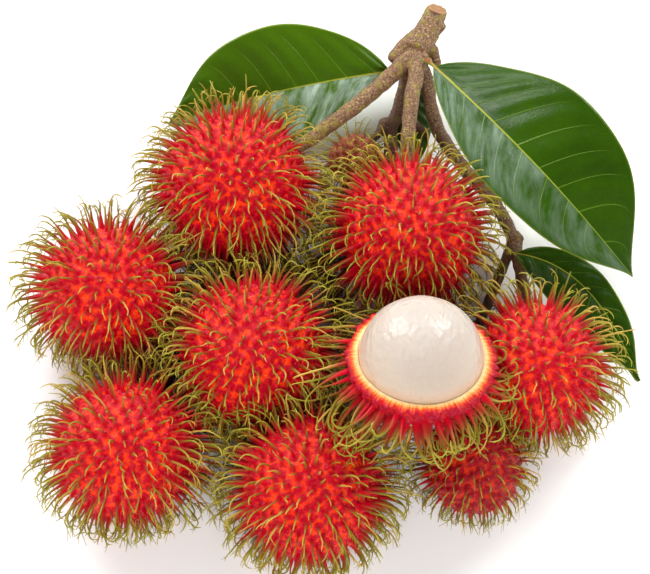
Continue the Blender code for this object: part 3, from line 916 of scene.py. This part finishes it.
ripe_spine = make_spine_material(
    "ripe_spine",
    root=paint(192, 0, 29),
    middle=paint(164, 60, 38),
    olive=paint(120, 108, 24),
    tip=paint(166, 162, 56),
    straw=paint(192, 158, 72),
)
green_spine = make_spine_material(
    "green_spine",
    root=paint(130, 90, 50),
    middle=paint(140, 120, 50),
    olive=paint(150, 146, 50),
    tip=paint(176, 178, 80),
    straw=paint(196, 186, 100),
)
print("spine materials are ready")

# %% [markdown]
# ## All whole fruits
# A fruit is two pieces, its rind and its spines, which share the same roots. Where it rests on the
# table the soft rind is pressed flat, and no spine grows from that spot.

# %% Build the whole fruits
# The direction of the painted light on the rinds: up, tilted a little to the front.
PAINTED_LIGHT_SIDE = unit(np.array([0.1, -0.2, 1.0]))
RIND_OF = {"fruit_small_back": green_rind, "fruit_lower_right": dull_rind}  # the others are ripe
PRESSED_BELOW = 1.5 * MM
UNRIPE_CROWDING = 0.72  # the undeveloped fruit's roots are closer together


def make_fruit(fruit, rng):
    is_small = fruit.name == "fruit_small_back"
    roots = spread_roots(fruit.radius, rng, ROOT_SPACING * (UNRIPE_CROWDING if is_small else 1.0))
    slot = "unripe_rind" if is_small else "rind"
    relief, values = rind_relief(ball_points, roots, fruit.radius, rng)
    points = on_rind(fruit, ball_points) + relief[:, None] * straight_out(fruit, ball_points)
    points[:, 2] = np.maximum(points[:, 2], LEAST_HEIGHT)
    # Painted light: how much of the lit-side colour each point gets, by how far it faces up to the lamps.
    values["sunny"] = np.clip(0.5 + 0.6 * ball_points @ PAINTED_LIGHT_SIDE, 0, 1)
    skin = RIND_OF.get(fruit.name, ripe_rind)
    add_piece(fruit.name + "_rind", points, ball_faces, skin, fruit.name, values)
    is_free = (roots @ fruit.stalk < STALK_CLEARING) & (on_rind(fruit, roots)[:, 2] > PRESSED_BELOW)
    make_spines(fruit, roots[is_free], green_spine if is_small else ripe_spine, slot, rng)


for number, fruit in enumerate(whole_fruits):
    make_fruit(fruit, np.random.default_rng(100 + number))

# %% [markdown]
# ## The opened fruit's rind
# The upper half of the rind has been peeled off, so what is left is a bowl with a torn rim. Its
# outline is turned on a lathe from the bottom up over the rim and down the inner wall. At the rim
# the white inside of the rind leans against the flesh, so no gap shows. The same bumps and furrows
# as on the whole fruits cover the outside and fade out at the rim, which is a little uneven, as
# thumbs leave it. The spines of the bowl hang: few are firm, and they hook over more than others.


# %% Turn the bowl
BOWL_COLUMNS = 420
WALL_ROWS, LIP_ROWS, INNER_ROWS = 110, 14, 24
LIP_RISE = 0.7 * MM  # by which the lip's inner edge stands over its outer one
LIP_ROUNDNESS = 0.45
WALL_LEAN = 0.12  # radians under the rim over which the inner wall leans to the flesh
RIM_UNEVENNESS = 0.35 * MM
RIM_WAVES = (3, 5, 9, 17, 31, 47, 71)  # waves to one turn
RIM_WAVE_DEPTH = 2.5 * MM  # how far under the rim they can be felt
BARE_RIM = 1.9 * MM  # no spine grows closer to the rim
SKIN_RELIEF = 1.3  # the peeled rind has loosened, and its bumps stand out more


def axis_frame(axis):
    """Two directions square to the axis."""
    first = unit(np.cross(axis, [1.0, 0.2, 0.1]))
    return first, np.cross(axis, first)


bowl_side, bowl_front = axis_frame(bowl_axis)


def bowl_outline():
    """Distance from the axis, height over the bowl's centre, and depth under the skin from 0 to 1."""
    rim_angle = math.acos(-rim_height / outer_radius)
    outside = np.linspace(0.02, rim_angle, WALL_ROWS)
    lip_turn = np.linspace(0, math.pi, LIP_ROWS + 2)[1:-1]
    lip_outer = outer_radius * math.sin(rim_angle)
    lip_middle, lip_half = (lip_outer + flesh_radius) / 2, (lip_outer - flesh_radius) / 2
    lip_depth = (1 - np.cos(lip_turn)) / 2
    inside = np.linspace(0.97 * rim_angle, 0.05, INNER_ROWS)
    lean = np.exp(-(rim_angle - inside) / WALL_LEAN)
    inner_wall = inner_radius + (flesh_radius - inner_radius) * lean
    away = np.r_[
        outer_radius * np.sin(outside),
        lip_middle + lip_half * np.cos(lip_turn),
        inner_wall * np.sin(inside),
    ]
    height = np.r_[
        -outer_radius * np.cos(outside),
        rim_height + LIP_ROUNDNESS * lip_half * np.sin(lip_turn) + LIP_RISE * lip_depth,
        -inner_wall * np.cos(inside),
    ]
    depth = np.r_[np.zeros(WALL_ROWS), lip_depth, np.ones(INNER_ROWS)]
    return away, height, depth


def make_bowl(rng):
    away, height, depth = bowl_outline()
    rows = len(away)
    turn = np.linspace(0, 2 * math.pi, BOWL_COLUMNS, endpoint=False)
    round_off = np.cos(turn)[:, None] * bowl_side + np.sin(turn)[:, None] * bowl_front
    points = bowl_centre + away[:, None, None] * round_off[None] + height[:, None, None] * bowl_axis
    points = points.reshape(-1, 3)
    outwards = unit(points - bowl_centre)
    roots = spread_roots(outer_radius, rng, 1.02 * ROOT_SPACING)
    relief, values = rind_relief(outwards, roots, outer_radius, rng)
    skin = np.repeat(np.clip(1.5 - 4 * depth, 0, 1), BOWL_COLUMNS)
    heights = np.repeat(height, BOWL_COLUMNS)
    waves = sum(
        rng.uniform(0.3, 1) / number * np.sin(number * turn + rng.uniform(0, 7)) for number in RIM_WAVES
    )
    near_rim = np.exp(-(((heights - rim_height) / RIM_WAVE_DEPTH) ** 2))
    tear = RIM_UNEVENNESS * np.tile(waves, rows) * near_rim
    points += (SKIN_RELIEF * relief * skin)[:, None] * outwards + tear[:, None] * bowl_axis
    values["depth"] = np.repeat(depth, BOWL_COLUMNS)
    # Painted light: the bowl gets an even share of the lit-side colour.
    values["sunny"] = np.full(len(points), 0.3)
    values["fibre"] = np.tile(rng.random(BOWL_COLUMNS), rows)
    faces = wall_faces(rows, BOWL_COLUMNS).tolist()
    faces.append(list(range(BOWL_COLUMNS))[::-1])
    faces.append(list(range((rows - 1) * BOWL_COLUMNS, rows * BOWL_COLUMNS)))
    add_piece("opened_rind_bowl", points, faces, opened_skin, "opened_rind", values)
    below = (roots @ bowl_axis) * outer_radius < rim_height - BARE_RIM
    rooted = roots[below & (roots @ opened.stalk < STALK_CLEARING)]
    growth = 0.86 + 0.6 * np.clip(-rooted[:, 1], 0, 1)  # what hangs down the bunch is longer
    habit = {"firm_share": 0.2, "disorder": (0.7, 1.8)}
    make_spines(opened, rooted, ripe_spine, "rind", rng, growth, girth=1.1, redness=0.9, **habit)


print(f"the bowl's outline has {WALL_ROWS + LIP_ROWS + INNER_ROWS} points")

# %% [markdown]
# The cut through the rind is cream next to the flesh, turns orange half-way and is red at the
# skin, with fine fibres across it. One colour ramp over the stored depth paints the whole cut.

# %% Make the opened rind
opened_skin = make_rind_material(
    "opened_skin",
    skin=paint(190, 6, 20),
    sunny_skin=paint(226, 40, 22),
    spot=paint(166, 2, 38),
    thread=paint(240, 90, 50),
)
tree = opened_skin.node_tree
shader = tree.nodes["Principled BSDF"]
cloud = use_group(tree, patches, Patches_per_metre=420.0)
frayed_depth = plus(tree, value_of(tree, "depth"), spread(tree, cloud["Fine patch"], -0.1, 0.1))
frayed_depth = plus(tree, frayed_depth, spread(tree, value_of(tree, "fibre"), -0.12, 0.12))
cut_colour = ramp(
    tree,
    frayed_depth,
    (0.16, paint(206, 10, 18)),
    (0.28, paint(232, 60, 20)),
    (0.40, paint(242, 116, 38)),
    (0.54, paint(248, 168, 84)),
    (0.72, paint(250, 210, 148)),
    (1.0, paint(248, 220, 172)),
)
is_cut = stretch_range(tree, frayed_depth, 0.12, 0.32)
skin_colour = shader.inputs["Base Color"].links[0].from_socket
tree.links.new(blend_colours(tree, is_cut, skin_colour, cut_colour), shader.inputs["Base Color"])
make_bowl(np.random.default_rng(77))

# %% [markdown]
# ## The flesh
# Rambutan flesh is a milky, translucent jelly with a moist skin. Its outline is an egg, but the
# highlights of the real one are broken into small soft wrinkles, because the skin follows the
# fibres beneath. The egg is therefore given real low lumps, the material adds the fine wrinkles,
# and subsurface scattering lets light into it. Near the rim the warm light that the rind throws on
# the flesh is painted into its colour.

# %% Make the flesh
FLESH_SINK = 0.04 * MM  # keeps the lumps inside the solid's size


def make_flesh():
    level = flesh_top - flesh_radius
    along = ball_points @ bowl_axis
    round_off = ball_points - along[:, None] * bowl_axis
    length = np.where(along > 0, flesh_radius, level - flesh_bottom)
    points = bowl_centre + level * bowl_axis + flesh_radius * round_off
    points = points + (along * length)[:, None] * bowl_axis
    swell = 0.16 * MM * lumps(points, 9 * MM, 1) + 0.05 * MM * lumps(points, 3 * MM, 2) - FLESH_SINK
    points += swell[:, None] * ball_points
    over_rim = ((points - bowl_centre) @ bowl_axis - rim_height) / (flesh_top - rim_height)
    values = {"over_rim": np.clip(over_rim, 0, 1)}
    add_piece("opened_flesh_egg", points, ball_faces, jelly, "opened_flesh", values)


jelly, tree, shader = new_material(
    "jelly",
    specular_ior_level=0.32,
    subsurface_weight=0.5,
    subsurface_radius=(4.0 * MM, 3.2 * MM, 2.6 * MM),
    subsurface_scale=1.0,
)
shader.inputs["IOR"].default_value = 1.38
cloud = use_group(tree, patches, Patches_per_metre=45.0)
# Painted reflected light: near the rim the flesh is painted warm peach, as lit by the rind.
milk_and_rim_light = ramp(
    tree,
    value_of(tree, "over_rim"),
    (0.0, paint(214, 172, 134)),
    (0.25, paint(198, 178, 158)),
    (1.0, paint(182, 173, 165)),
)
veins = ramp(tree, cloud["Patch"], (0.0, paint(196, 182, 168)), (1.0, paint(204, 196, 190)))
tree.links.new(blend_colours(tree, 0.22, milk_and_rim_light, veins), shader.inputs["Base Color"])
tree.links.new(spread(tree, cloud["Fine patch"], 0.18, 0.26), shader.inputs["Roughness"])
drawn_out = add_node(tree, "Mapping", {"Vector": place_of(tree), "Scale": (1.0, 0.6, 0.8)})
wrinkles = noise(tree, drawn_out.outputs[0], 620.0, 1.5)
use_bump(tree, shader, wrinkles, 1.1 * MM, 0.5)
make_flesh()

# %% [markdown]
# ## Measuring the leaves
# A leaf in the solid model is a thick, faceted blade. Its fine version has to follow the same
# midrib and the same outline, so the blade is sliced like bread across its length. In each slice
# the outermost corners are the two margins, and the lowest point between them is the midrib,
# because every leaf is folded a little along it. Smooth curves through the slices then give the
# whole leaf.


# %% Slice a leaf and fit its curves
@dataclass
class LeafShape:
    """A leaf in its own frame: x from base to tip, y across, z up out of the blade."""

    name: str
    base: np.ndarray
    axes: np.ndarray  # rows: x, y and z of the leaf's frame
    length: float
    rib_aside: np.poly1d  # y of the midrib by the share of the length
    rib_height: np.poly1d
    edge_heights: tuple  # z of the two margins, for negative and for positive y
    widths: tuple  # distances from midrib to margin, over sqrt(share x (1 - share))


def leaf_slice(triangles, level):
    """Where the plane x = level cuts the edges of the triangles."""
    first, second = triangles, np.roll(triangles, -1, axis=1)
    crosses = (first[..., 0] - level) * (second[..., 0] - level) < 0
    start, end = first[crosses], second[crosses]
    share = (level - start[:, 0]) / (end[:, 0] - start[:, 0])
    return start + share[:, None] * (end - start)


SLICES = 80
FIRST_SLICE, LAST_SLICE = 0.09, 0.985  # shares of the length


def to_twig(point):
    return np.linalg.norm(twig_points - point, axis=1).min()


def measure_leaf(name):
    corners = node_points(name)
    middle = corners.mean(axis=0)
    first_end = corners[np.linalg.norm(corners - middle, axis=1).argmax()]
    second_end = corners[np.linalg.norm(corners - first_end, axis=1).argmax()]
    base, tip = sorted([first_end, second_end], key=to_twig)
    ahead = unit(tip - base)
    facing = np.linalg.svd(corners - middle)[2][2]
    facing = unit(facing - (facing @ ahead) * ahead) * np.sign(facing[2])
    axes = np.array([ahead, np.cross(facing, ahead), facing])
    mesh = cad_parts[name].data
    mesh.calc_loop_triangles()
    vertices = np.array([corner.co for corner in mesh.vertices], float)
    triangles = ((vertices - base) @ axes.T)[[list(face.vertices) for face in mesh.loop_triangles]]
    length = (tip - base) @ ahead
    shares = np.linspace(FIRST_SLICE, LAST_SLICE, SLICES)
    rows = []
    for share in shares:
        cut = leaf_slice(triangles, share * length)
        low, high = cut[cut[:, 1].argmin()], cut[cut[:, 1].argmax()]
        edge_line = np.interp(cut[:, 1], [low[1], high[1]], [low[2], high[2]])
        rib = cut[(cut[:, 2] - edge_line).argmin()]
        rib_height = cut[np.abs(cut[:, 1] - rib[1]) < 0.5 * MM, 2].mean()
        rows.append([rib[1], rib_height, low[2], high[2], rib[1] - low[1], high[1] - rib[1]])
    rows = np.array(rows)
    degrees = (3, 3, 5, 5)
    rib_aside, rib_height, low_height, high_height = (
        np.poly1d(np.polyfit(shares, rows[:, column], degree)) for column, degree in enumerate(degrees)
    )
    swell = np.sqrt(shares * (1 - shares))
    widths = tuple(np.poly1d(np.polyfit(shares, rows[:, column] / swell, 7)) for column in (4, 5))
    print(f"{name}: {length / MM:.0f} mm long, {rows[:, 4:].sum(axis=1).max() / MM:.0f} mm wide")
    return LeafShape(name, base, axes, length, rib_aside, rib_height, (low_height, high_height), widths)


leaf_shapes = [measure_leaf(name) for name in sorted(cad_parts) if name.startswith("leaf_")]

# %% [markdown]
# ## Building the leaves
# The blade of a rambutan leaf is stiff and waxy. It bulges between its side veins, which leave the
# midrib at about sixty degrees and arch towards the tip, and its margin waves gently. Each slice
# becomes a closed loop: over the top from margin to margin and back along the underside. The
# midrib is a round rib that stands out more below than above, and before the blade begins the
# same loop is simply the round leaf stalk, with a little cushion where it leaves the twig.

# %% Lay out a leaf
STATIONS = 200
HALF_COLUMNS = 34  # columns from midrib to margin
LEAF_STALK_SHARE = 0.03  # of the length
BLADE_HALF_THICKNESS = 0.19 * MM
RIB_RADIUS = 0.42 * MM
LEAF_STALK_RADIUS = 0.75 * MM
CUSHION_RADIUS = 0.6 * MM  # by which the stalk is thicker where it meets the twig
CUSHION_PLACE, CUSHION_WIDTH = 0.012, 0.011  # shares of the length
BLADE_OPENING = 0.04  # the share of the length over which the blade unfolds from the stalk
RIB_TAPER = 0.72  # how much thinner the midrib is at the tip
RIB_ABOVE, RIB_BELOW = 0.28, 0.88  # how much of it stands out of either side of the blade
BULGE = 0.42 * MM
EDGE_WAVE = 0.45 * MM
EDGE_WAVES = 2.6  # along the whole margin
MARGIN_LIFT = 0.92  # below 1, the blade is fullest near the midrib
LAST_SHARE = 0.999  # a leaf ends just before its outline closes


def vein_phase(share, aside, count, side):
    """Goes up by one from each side vein to the next; a whole number lies on a vein."""
    leans_ahead = 0.115 * aside + 0.075 * aside**3
    start = share - leans_ahead * (1 - 0.35 * share)
    return count * start + 0.1 * np.sin(1.7 * count * start + 2 * side) + 0.4 * side


def leaf_loop_columns():
    """Places across the blade from -1 to 1, closer together near the midrib."""
    half = np.linspace(0, 1, HALF_COLUMNS) ** 1.25
    return np.r_[-half[:0:-1], half]


def make_leaf(shape, vein_count, age, waxiness, material, rng):
    shares = 1 - (1 - np.linspace(0, 1, STATIONS) ** 1.25) ** 1.06  # closest together at both ends
    shares[-1] = LAST_SHARE
    columns = leaf_loop_columns()
    share, across = np.meshgrid(shares, columns, indexing="ij")
    side = np.where(across < 0, 0, 1)
    swell = np.sqrt(shares * (1 - shares))
    begins = np.clip((shares - LEAF_STALK_SHARE) / BLADE_OPENING, 0, 1)
    thicker = (LEAF_STALK_RADIUS - RIB_RADIUS) * np.exp(-shares / 0.03)
    thicker += CUSHION_RADIUS * np.exp(-(((shares - CUSHION_PLACE) / CUSHION_WIDTH) ** 2))
    size = (shape.length / (90 * MM)) ** 0.7
    rib_radius = (RIB_RADIUS + thicker) * size * (1 - RIB_TAPER * shares)
    blade_widths = [np.maximum(width(shares), 0) * swell * np.sqrt(begins) for width in shape.widths]
    widths = np.where(side == 0, *(np.maximum(width, rib_radius)[:, None] for width in blade_widths))
    heights = np.where(side == 0, *(edge(shares)[:, None] for edge in shape.edge_heights))
    rib_height = shape.rib_height(shares)[:, None]
    aside = np.abs(across)
    off_rib = widths * aside
    phase = vein_phase(share, aside, vein_count, side)
    between = np.clip(aside / 0.25, 0, 1) * np.clip((1 - aside) / 0.3, 0, 1)
    bulge = BULGE * np.sin(math.pi * phase) ** 2 * between
    wave_turn = 2 * math.pi * (EDGE_WAVES * share + rng.uniform(0, 1)) + 2.2 * side
    wave = EDGE_WAVE * aside**3 * np.sin(wave_turn)
    is_blade = begins[:, None]
    opening = is_blade * np.minimum(1, off_rib / (1.5 * MM))
    margin_rise = is_blade * aside**MARGIN_LIFT * (heights - rib_height)
    middle = rib_height + margin_rise + opening * (bulge + wave)
    blade = is_blade * BLADE_HALF_THICKNESS * np.sqrt(np.clip(1 - aside**10, 0.02, 1))
    rib = rib_radius[:, None] * np.sqrt(np.clip(1 - (off_rib / rib_radius[:, None]) ** 2, 0, 1))
    above = middle + blade + rib * (1 - (1 - RIB_ABOVE) * is_blade)
    below = middle - blade - rib * (1 - (1 - RIB_BELOW) * is_blade)
    y = shape.rib_aside(shares)[:, None] + across * widths
    top = np.stack([share * shape.length, y, above], axis=-1)
    under = np.stack([share * shape.length, y, below], axis=-1)[:, ::-1]
    loops = np.concatenate([top, under], axis=1)
    points = shape.base + loops.reshape(-1, 3) @ shape.axes

    # Painted sheen: the reflection of the panels is painted in pale streaks on the half that faced the
    # front, most of all near the stalk.
    is_sheen_half = np.sign(across) == -np.sign(shape.axes[1][1])
    wax = waxiness * is_sheen_half * np.clip(1.15 - 1.1 * share, 0.45, 1) * np.clip(share / 0.06, 0, 1)

    def both_sides(values):
        return np.concatenate([values, values[:, ::-1]], axis=1).ravel()

    values = {
        "phase": both_sides(phase),
        "share": both_sides(share),
        "aside": both_sides(aside),
        "off_rib": both_sides(off_rib / MM),
        "off_edge": both_sides((widths - off_rib) / MM),
        "rib_size": both_sides(rib_radius[:, None] / MM * np.ones_like(across)),
        "wax": both_sides(wax),
        "age": both_sides(np.full_like(across, age)),
        "under": np.concatenate([np.zeros_like(across), np.ones_like(across)], axis=1).ravel(),
    }
    around = 2 * len(columns)
    faces = wall_faces(STATIONS, around).tolist()
    faces += [list(range(around))[::-1], list(range((STATIONS - 1) * around, STATIONS * around))]
    add_piece(shape.name + "_blade", points, faces, material, shape.name, values)


print("a leaf has", STATIONS, "slices")

# %% [markdown]
# ## Finish of the leaves
# The upper side is deep green and waxy. The midrib is yellow, with a reddish stalk, the side
# veins are fine lighter lines that fade before they reach the margin, and between them runs a very
# fine net. The margin itself is a thin yellow-green line. On most leaves one half carries a painted
# sheen: pale grey streaks between the veins that stand for the reflection of the panels. Some
# leaves, the left one most, are painted a lighter green for the light that falls on them. The
# underside is paler and matt. Lines as fine as these are drawn by the material from the stored
# values, because the mesh would have to be far denser to hold them.


# %% Make the leaf material
def make_leaf_material(name, green, light_green, shade_green, lit_green):
    material, tree, shader = new_material(name, specular_ior_level=0.14)
    phase, share, aside = value_of(tree, "phase"), value_of(tree, "share"), value_of(tree, "aside")
    cloud = use_group(tree, patches, Patches_per_metre=55.0)
    speckle = use_group(tree, specks, Specks_per_metre=750.0, Share=0.2)
    colour = blend_colours(tree, cloud["Patch"], green, light_green)
    colour = blend_colours(tree, spread(tree, cloud["Fine patch"], 0.0, 0.4), colour, shade_green)
    colour = blend_colours(tree, times(tree, speckle["Speck"], 0.22), colour, light_green)
    # Painted light: some leaves, the left one most, are painted a lighter green for the light that falls
    # on them.
    colour = blend_colours(tree, value_of(tree, "age"), colour, lit_green)
    # The net between the veins, in a plane made of the vein phase and the way across.
    plane = {"X": times(tree, phase, 9.0), "Y": times(tree, aside, 26.0), "Z": 0.0}
    net_inputs = {"Vector": add_node(tree, "CombineXYZ", plane).outputs[0], "Scale": 1.0}
    net = add_node(tree, "TexVoronoi", net_inputs, feature="DISTANCE_TO_EDGE")
    net_line = stretch_range(tree, net.outputs["Distance"], 0.16, 0.0)
    colour = blend_colours(tree, times(tree, net_line, 0.22), colour, light_green)
    # Side veins: how far the phase is from a whole number.
    from_vein = maths(tree, "PINGPONG", phase, 0.5)
    line_width = spread(tree, aside, 0.034, 0.014)
    vein = maths(tree, "SUBTRACT", 1.0, maths(tree, "DIVIDE", from_vein, line_width), clamp=True)
    vein = times(tree, vein, stretch_range(tree, aside, 0.92, 0.62))
    vein = times(tree, vein, stretch_range(tree, share, 0.98, 0.86))
    colour = blend_colours(tree, times(tree, vein, 0.6), colour, paint(104, 134, 40))
    # The wax, in streaks that run along between the veins.
    along_veins = {"X": times(tree, phase, 2.3), "Y": times(tree, aside, 1.7), "Z": share}
    streaks = add_node(tree, "CombineXYZ", along_veins).outputs[0]
    streak = stretch_range(tree, noise(tree, streaks, 1.0, 4.0, 0.6), 0.36, 0.66)
    # Painted sheen: pale streaks, standing for the panels' reflection, that run along between the veins.
    streak = times(tree, streak, stretch_range(tree, aside, 1.0, 0.8))
    wax = times(tree, value_of(tree, "wax"), streak)
    colour = blend_colours(tree, times(tree, wax, 0.42), colour, paint(156, 174, 160))
    # The midrib and the margin.
    rib_edge = maths(tree, "DIVIDE", value_of(tree, "off_rib"), value_of(tree, "rib_size"))
    rib = stretch_range(tree, rib_edge, 0.95, 0.55)
    rib_colour = ramp(
        tree,
        share,
        (0.012, paint(138, 80, 58)),
        (0.036, paint(156, 120, 58)),
        (0.12, paint(146, 148, 44)),
        (1.0, paint(112, 134, 44)),
    )
    colour = blend_colours(tree, rib, colour, rib_colour)
    margin = stretch_range(tree, value_of(tree, "off_edge"), 0.55, 0.15)
    colour = blend_colours(tree, times(tree, margin, 0.7), colour, paint(120, 136, 36))
    # The underside.
    pale = blend_colours(tree, 0.62, colour, paint(120, 150, 78))
    colour = blend_colours(tree, value_of(tree, "under"), colour, pale)
    tree.links.new(colour, shader.inputs["Base Color"])
    gloss = spread(tree, cloud["Fine patch"], 0.2, 0.34)
    gloss = plus(tree, gloss, times(tree, value_of(tree, "under"), 0.25))
    tree.links.new(gloss, shader.inputs["Roughness"])
    sunk = times(tree, plus(tree, vein, times(tree, net_line, 0.16)), -0.5)
    height = plus(tree, sunk, times(tree, cloud["Skin height"], 0.5))
    use_bump(tree, shader, height, 0.35 * MM, 0.55)
    return material


leaf_green = make_leaf_material(
    "leaf_green",
    green=paint(29, 58, 2),
    light_green=paint(44, 76, 4),
    shade_green=paint(20, 46, 1),
    lit_green=paint(70, 102, 8),
)
VEIN_COUNTS = {"leaf_left": 9, "leaf_right": 10, "leaf_lower_right": 8, "leaf_small_back": 8}
# Painted light: how much lighter each leaf is painted.
PAINTED_LEAF_LIGHT = {"leaf_left": 0.65, "leaf_right": 0.1, "leaf_lower_right": 0.0, "leaf_small_back": 0.3}
# Painted sheen: how strongly the front half of each leaf is painted with the panels' reflection.
PAINTED_SHEEN_STRENGTH = {"leaf_left": 2.8, "leaf_right": 1.1, "leaf_lower_right": 0.0, "leaf_small_back": 0.5}
for number, shape in enumerate(leaf_shapes):
    traits = [kept[shape.name] for kept in (VEIN_COUNTS, PAINTED_LEAF_LIGHT, PAINTED_SHEEN_STRENGTH)]
    make_leaf(shape, *traits, leaf_green, np.random.default_rng(300 + number))

# %% [markdown]
# ## The twig
# The solid twig has flat facets and sharp joins between its limbs. Real limbs flow into each
# other, and their bark is rough. The copy is therefore rebuilt from small even faces, which also
# melts the joins together, then smoothed, and then roughened again with real lumps and pits.
# The cut across the end stays almost flat.

# %% Find the cut face
CUT_CORNERS = 8  # the highest corners along the stub make up the cut
stub_end = twig_points[np.argsort(twig_points[:, 1])[-CUT_CORNERS:]]
cut_centre = stub_end.mean(axis=0)
cut_facing = np.linalg.svd(stub_end - cut_centre)[2][2]
cut_facing = cut_facing * np.sign(cut_facing[1])
cut_radius = np.linalg.norm(stub_end - cut_centre, axis=1).max()
print(f"the cut is {2 * cut_radius / MM:.1f} mm wide and faces {np.round(cut_facing, 2)}")

# %% Rebuild the twig from small faces
TWIG_FACE = 0.42 * MM
BARK_LUMP = 0.26 * MM
BARK_SWELL = 0.28 * MM  # makes up for what the smoothing takes away
BARK_PIT = 0.16 * MM
CUT_RELIEF = 0.1  # of the bark's roughness that is left on the cut
CUT_DEPTH = 0.9 * MM  # what is deeper than this is no longer the cut


def make_twig():
    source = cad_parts["twig"].data.copy()
    form = bmesh.new()
    form.from_mesh(source)
    bmesh.ops.remove_doubles(form, verts=form.verts, dist=0.01 * MM)
    form.to_mesh(source)
    form.free()
    draft = bpy.data.objects.new("twig_draft", source)
    bpy.context.scene.collection.objects.link(draft)
    remesh = draft.modifiers.new("even_faces", "REMESH")
    remesh.mode = "VOXEL"
    remesh.voxel_size = TWIG_FACE
    smooth = draft.modifiers.new("melt_joins", "SMOOTH")
    smooth.iterations = 12
    smooth.factor = 0.5
    even = bpy.data.meshes.new_from_object(draft.evaluated_get(bpy.context.evaluated_depsgraph_get()))
    points = np.array([point.co for point in even.vertices], float)
    facing = np.array([normal.vector for normal in even.vertex_normals], float)
    faces = [list(face.vertices) for face in even.polygons]
    bpy.data.objects.remove(draft)
    below_cut = (cut_centre - points) @ cut_facing
    near_cut_axis = np.linalg.norm(points - cut_centre + below_cut[:, None] * cut_facing, axis=1)
    is_stub_end = near_cut_axis < 1.6 * cut_radius
    cut = is_stub_end * (facing @ cut_facing > 0.75) * (below_cut < CUT_DEPTH)
    lump = lumps(points, 3.2 * MM, 3) + 0.6 * lumps(points, 1.3 * MM, 4)
    pit = np.abs(lumps(points, 0.9 * MM, 5))
    rough = BARK_SWELL + BARK_LUMP * lump - BARK_PIT * pit
    points += (rough * (1 - (1 - CUT_RELIEF) * cut))[:, None] * facing
    points[:, 2] = np.maximum(points[:, 2], LEAST_HEIGHT)
    values = {"cut": cut, "cut_away": near_cut_axis / cut_radius, "ridge": 1 - pit}
    add_piece("twig_bark", points, faces, bark, "twig", values)


# %% [markdown]
# ## Finish of the bark
# Young rambutan wood has thin grey-brown bark with tiny pale pores, reddish and purplish stains
# and flecks of yellow-green algae where it stayed damp. The ridges between its pits are worn dark.
# The low limbs under the fruits lie in shade, and that shade is painted on them as dark brown. The
# cut is fresh: pale tan wood with a darker ring of bark round it.

# %% Make the bark material
BARK_SHADE_LEVELS = (15 * MM, 8 * MM)

bark, tree, shader = new_material("bark")
cloud = use_group(tree, patches, Patches_per_metre=300.0)
broad = use_group(tree, patches, Patches_per_metre=60.0)
pores = use_group(tree, specks, Specks_per_metre=1000.0, Share=0.22)
ground = ramp(
    tree,
    cloud["Fine patch"],
    (0.05, paint(74, 44, 30)),
    (0.4, paint(122, 88, 60)),
    (0.68, paint(166, 130, 92)),
    (0.92, paint(212, 178, 134)),
)
stain_mask = times(tree, stretch_range(tree, broad["Patch"], 0.55, 0.85), 0.4)
stained = blend_colours(tree, stain_mask, ground, paint(118, 70, 54))
algae_mask = times(tree, stretch_range(tree, broad["Fine patch"], 0.58, 0.85), 0.75)
mossy = blend_colours(tree, algae_mask, stained, paint(160, 150, 44))
with_pores = blend_colours(tree, times(tree, pores["Speck"], 0.4), mossy, paint(196, 164, 120))
ridges = stretch_range(tree, value_of(tree, "ridge"), 0.5, 0.95, 0.0, 0.42)
barked = blend_colours(tree, ridges, with_pores, paint(58, 36, 26))
# Painted shade: the low limbs under the fruits are darkened towards dark brown.
height = add_node(tree, "SeparateXYZ", {"Vector": place_of(tree)}).outputs["Z"]
painted_shade = stretch_range(tree, height, *BARK_SHADE_LEVELS, 0.0, 0.7)
barked = blend_colours(tree, painted_shade, barked, paint(60, 32, 22))
ring = ramp(
    tree,
    value_of(tree, "cut_away"),
    (0.0, paint(168, 122, 70)),
    (0.4, paint(138, 94, 48)),
    (0.75, paint(172, 128, 76)),
    (0.86, paint(140, 88, 42)),
    (0.95, paint(66, 42, 24)),
)
wood_grain = stretch_range(tree, cloud["Fine patch"], 0.2, 0.8, 0.0, 0.35)
wood = blend_colours(tree, wood_grain, ring, paint(134, 88, 52))
tree.links.new(blend_colours(tree, value_of(tree, "cut"), barked, wood), shader.inputs["Base Color"])
tree.links.new(spread(tree, cloud["Fine patch"], 0.6, 0.85), shader.inputs["Roughness"])
use_bump(tree, shader, cloud["Skin height"], 0.8 * MM, 0.9)
make_twig()
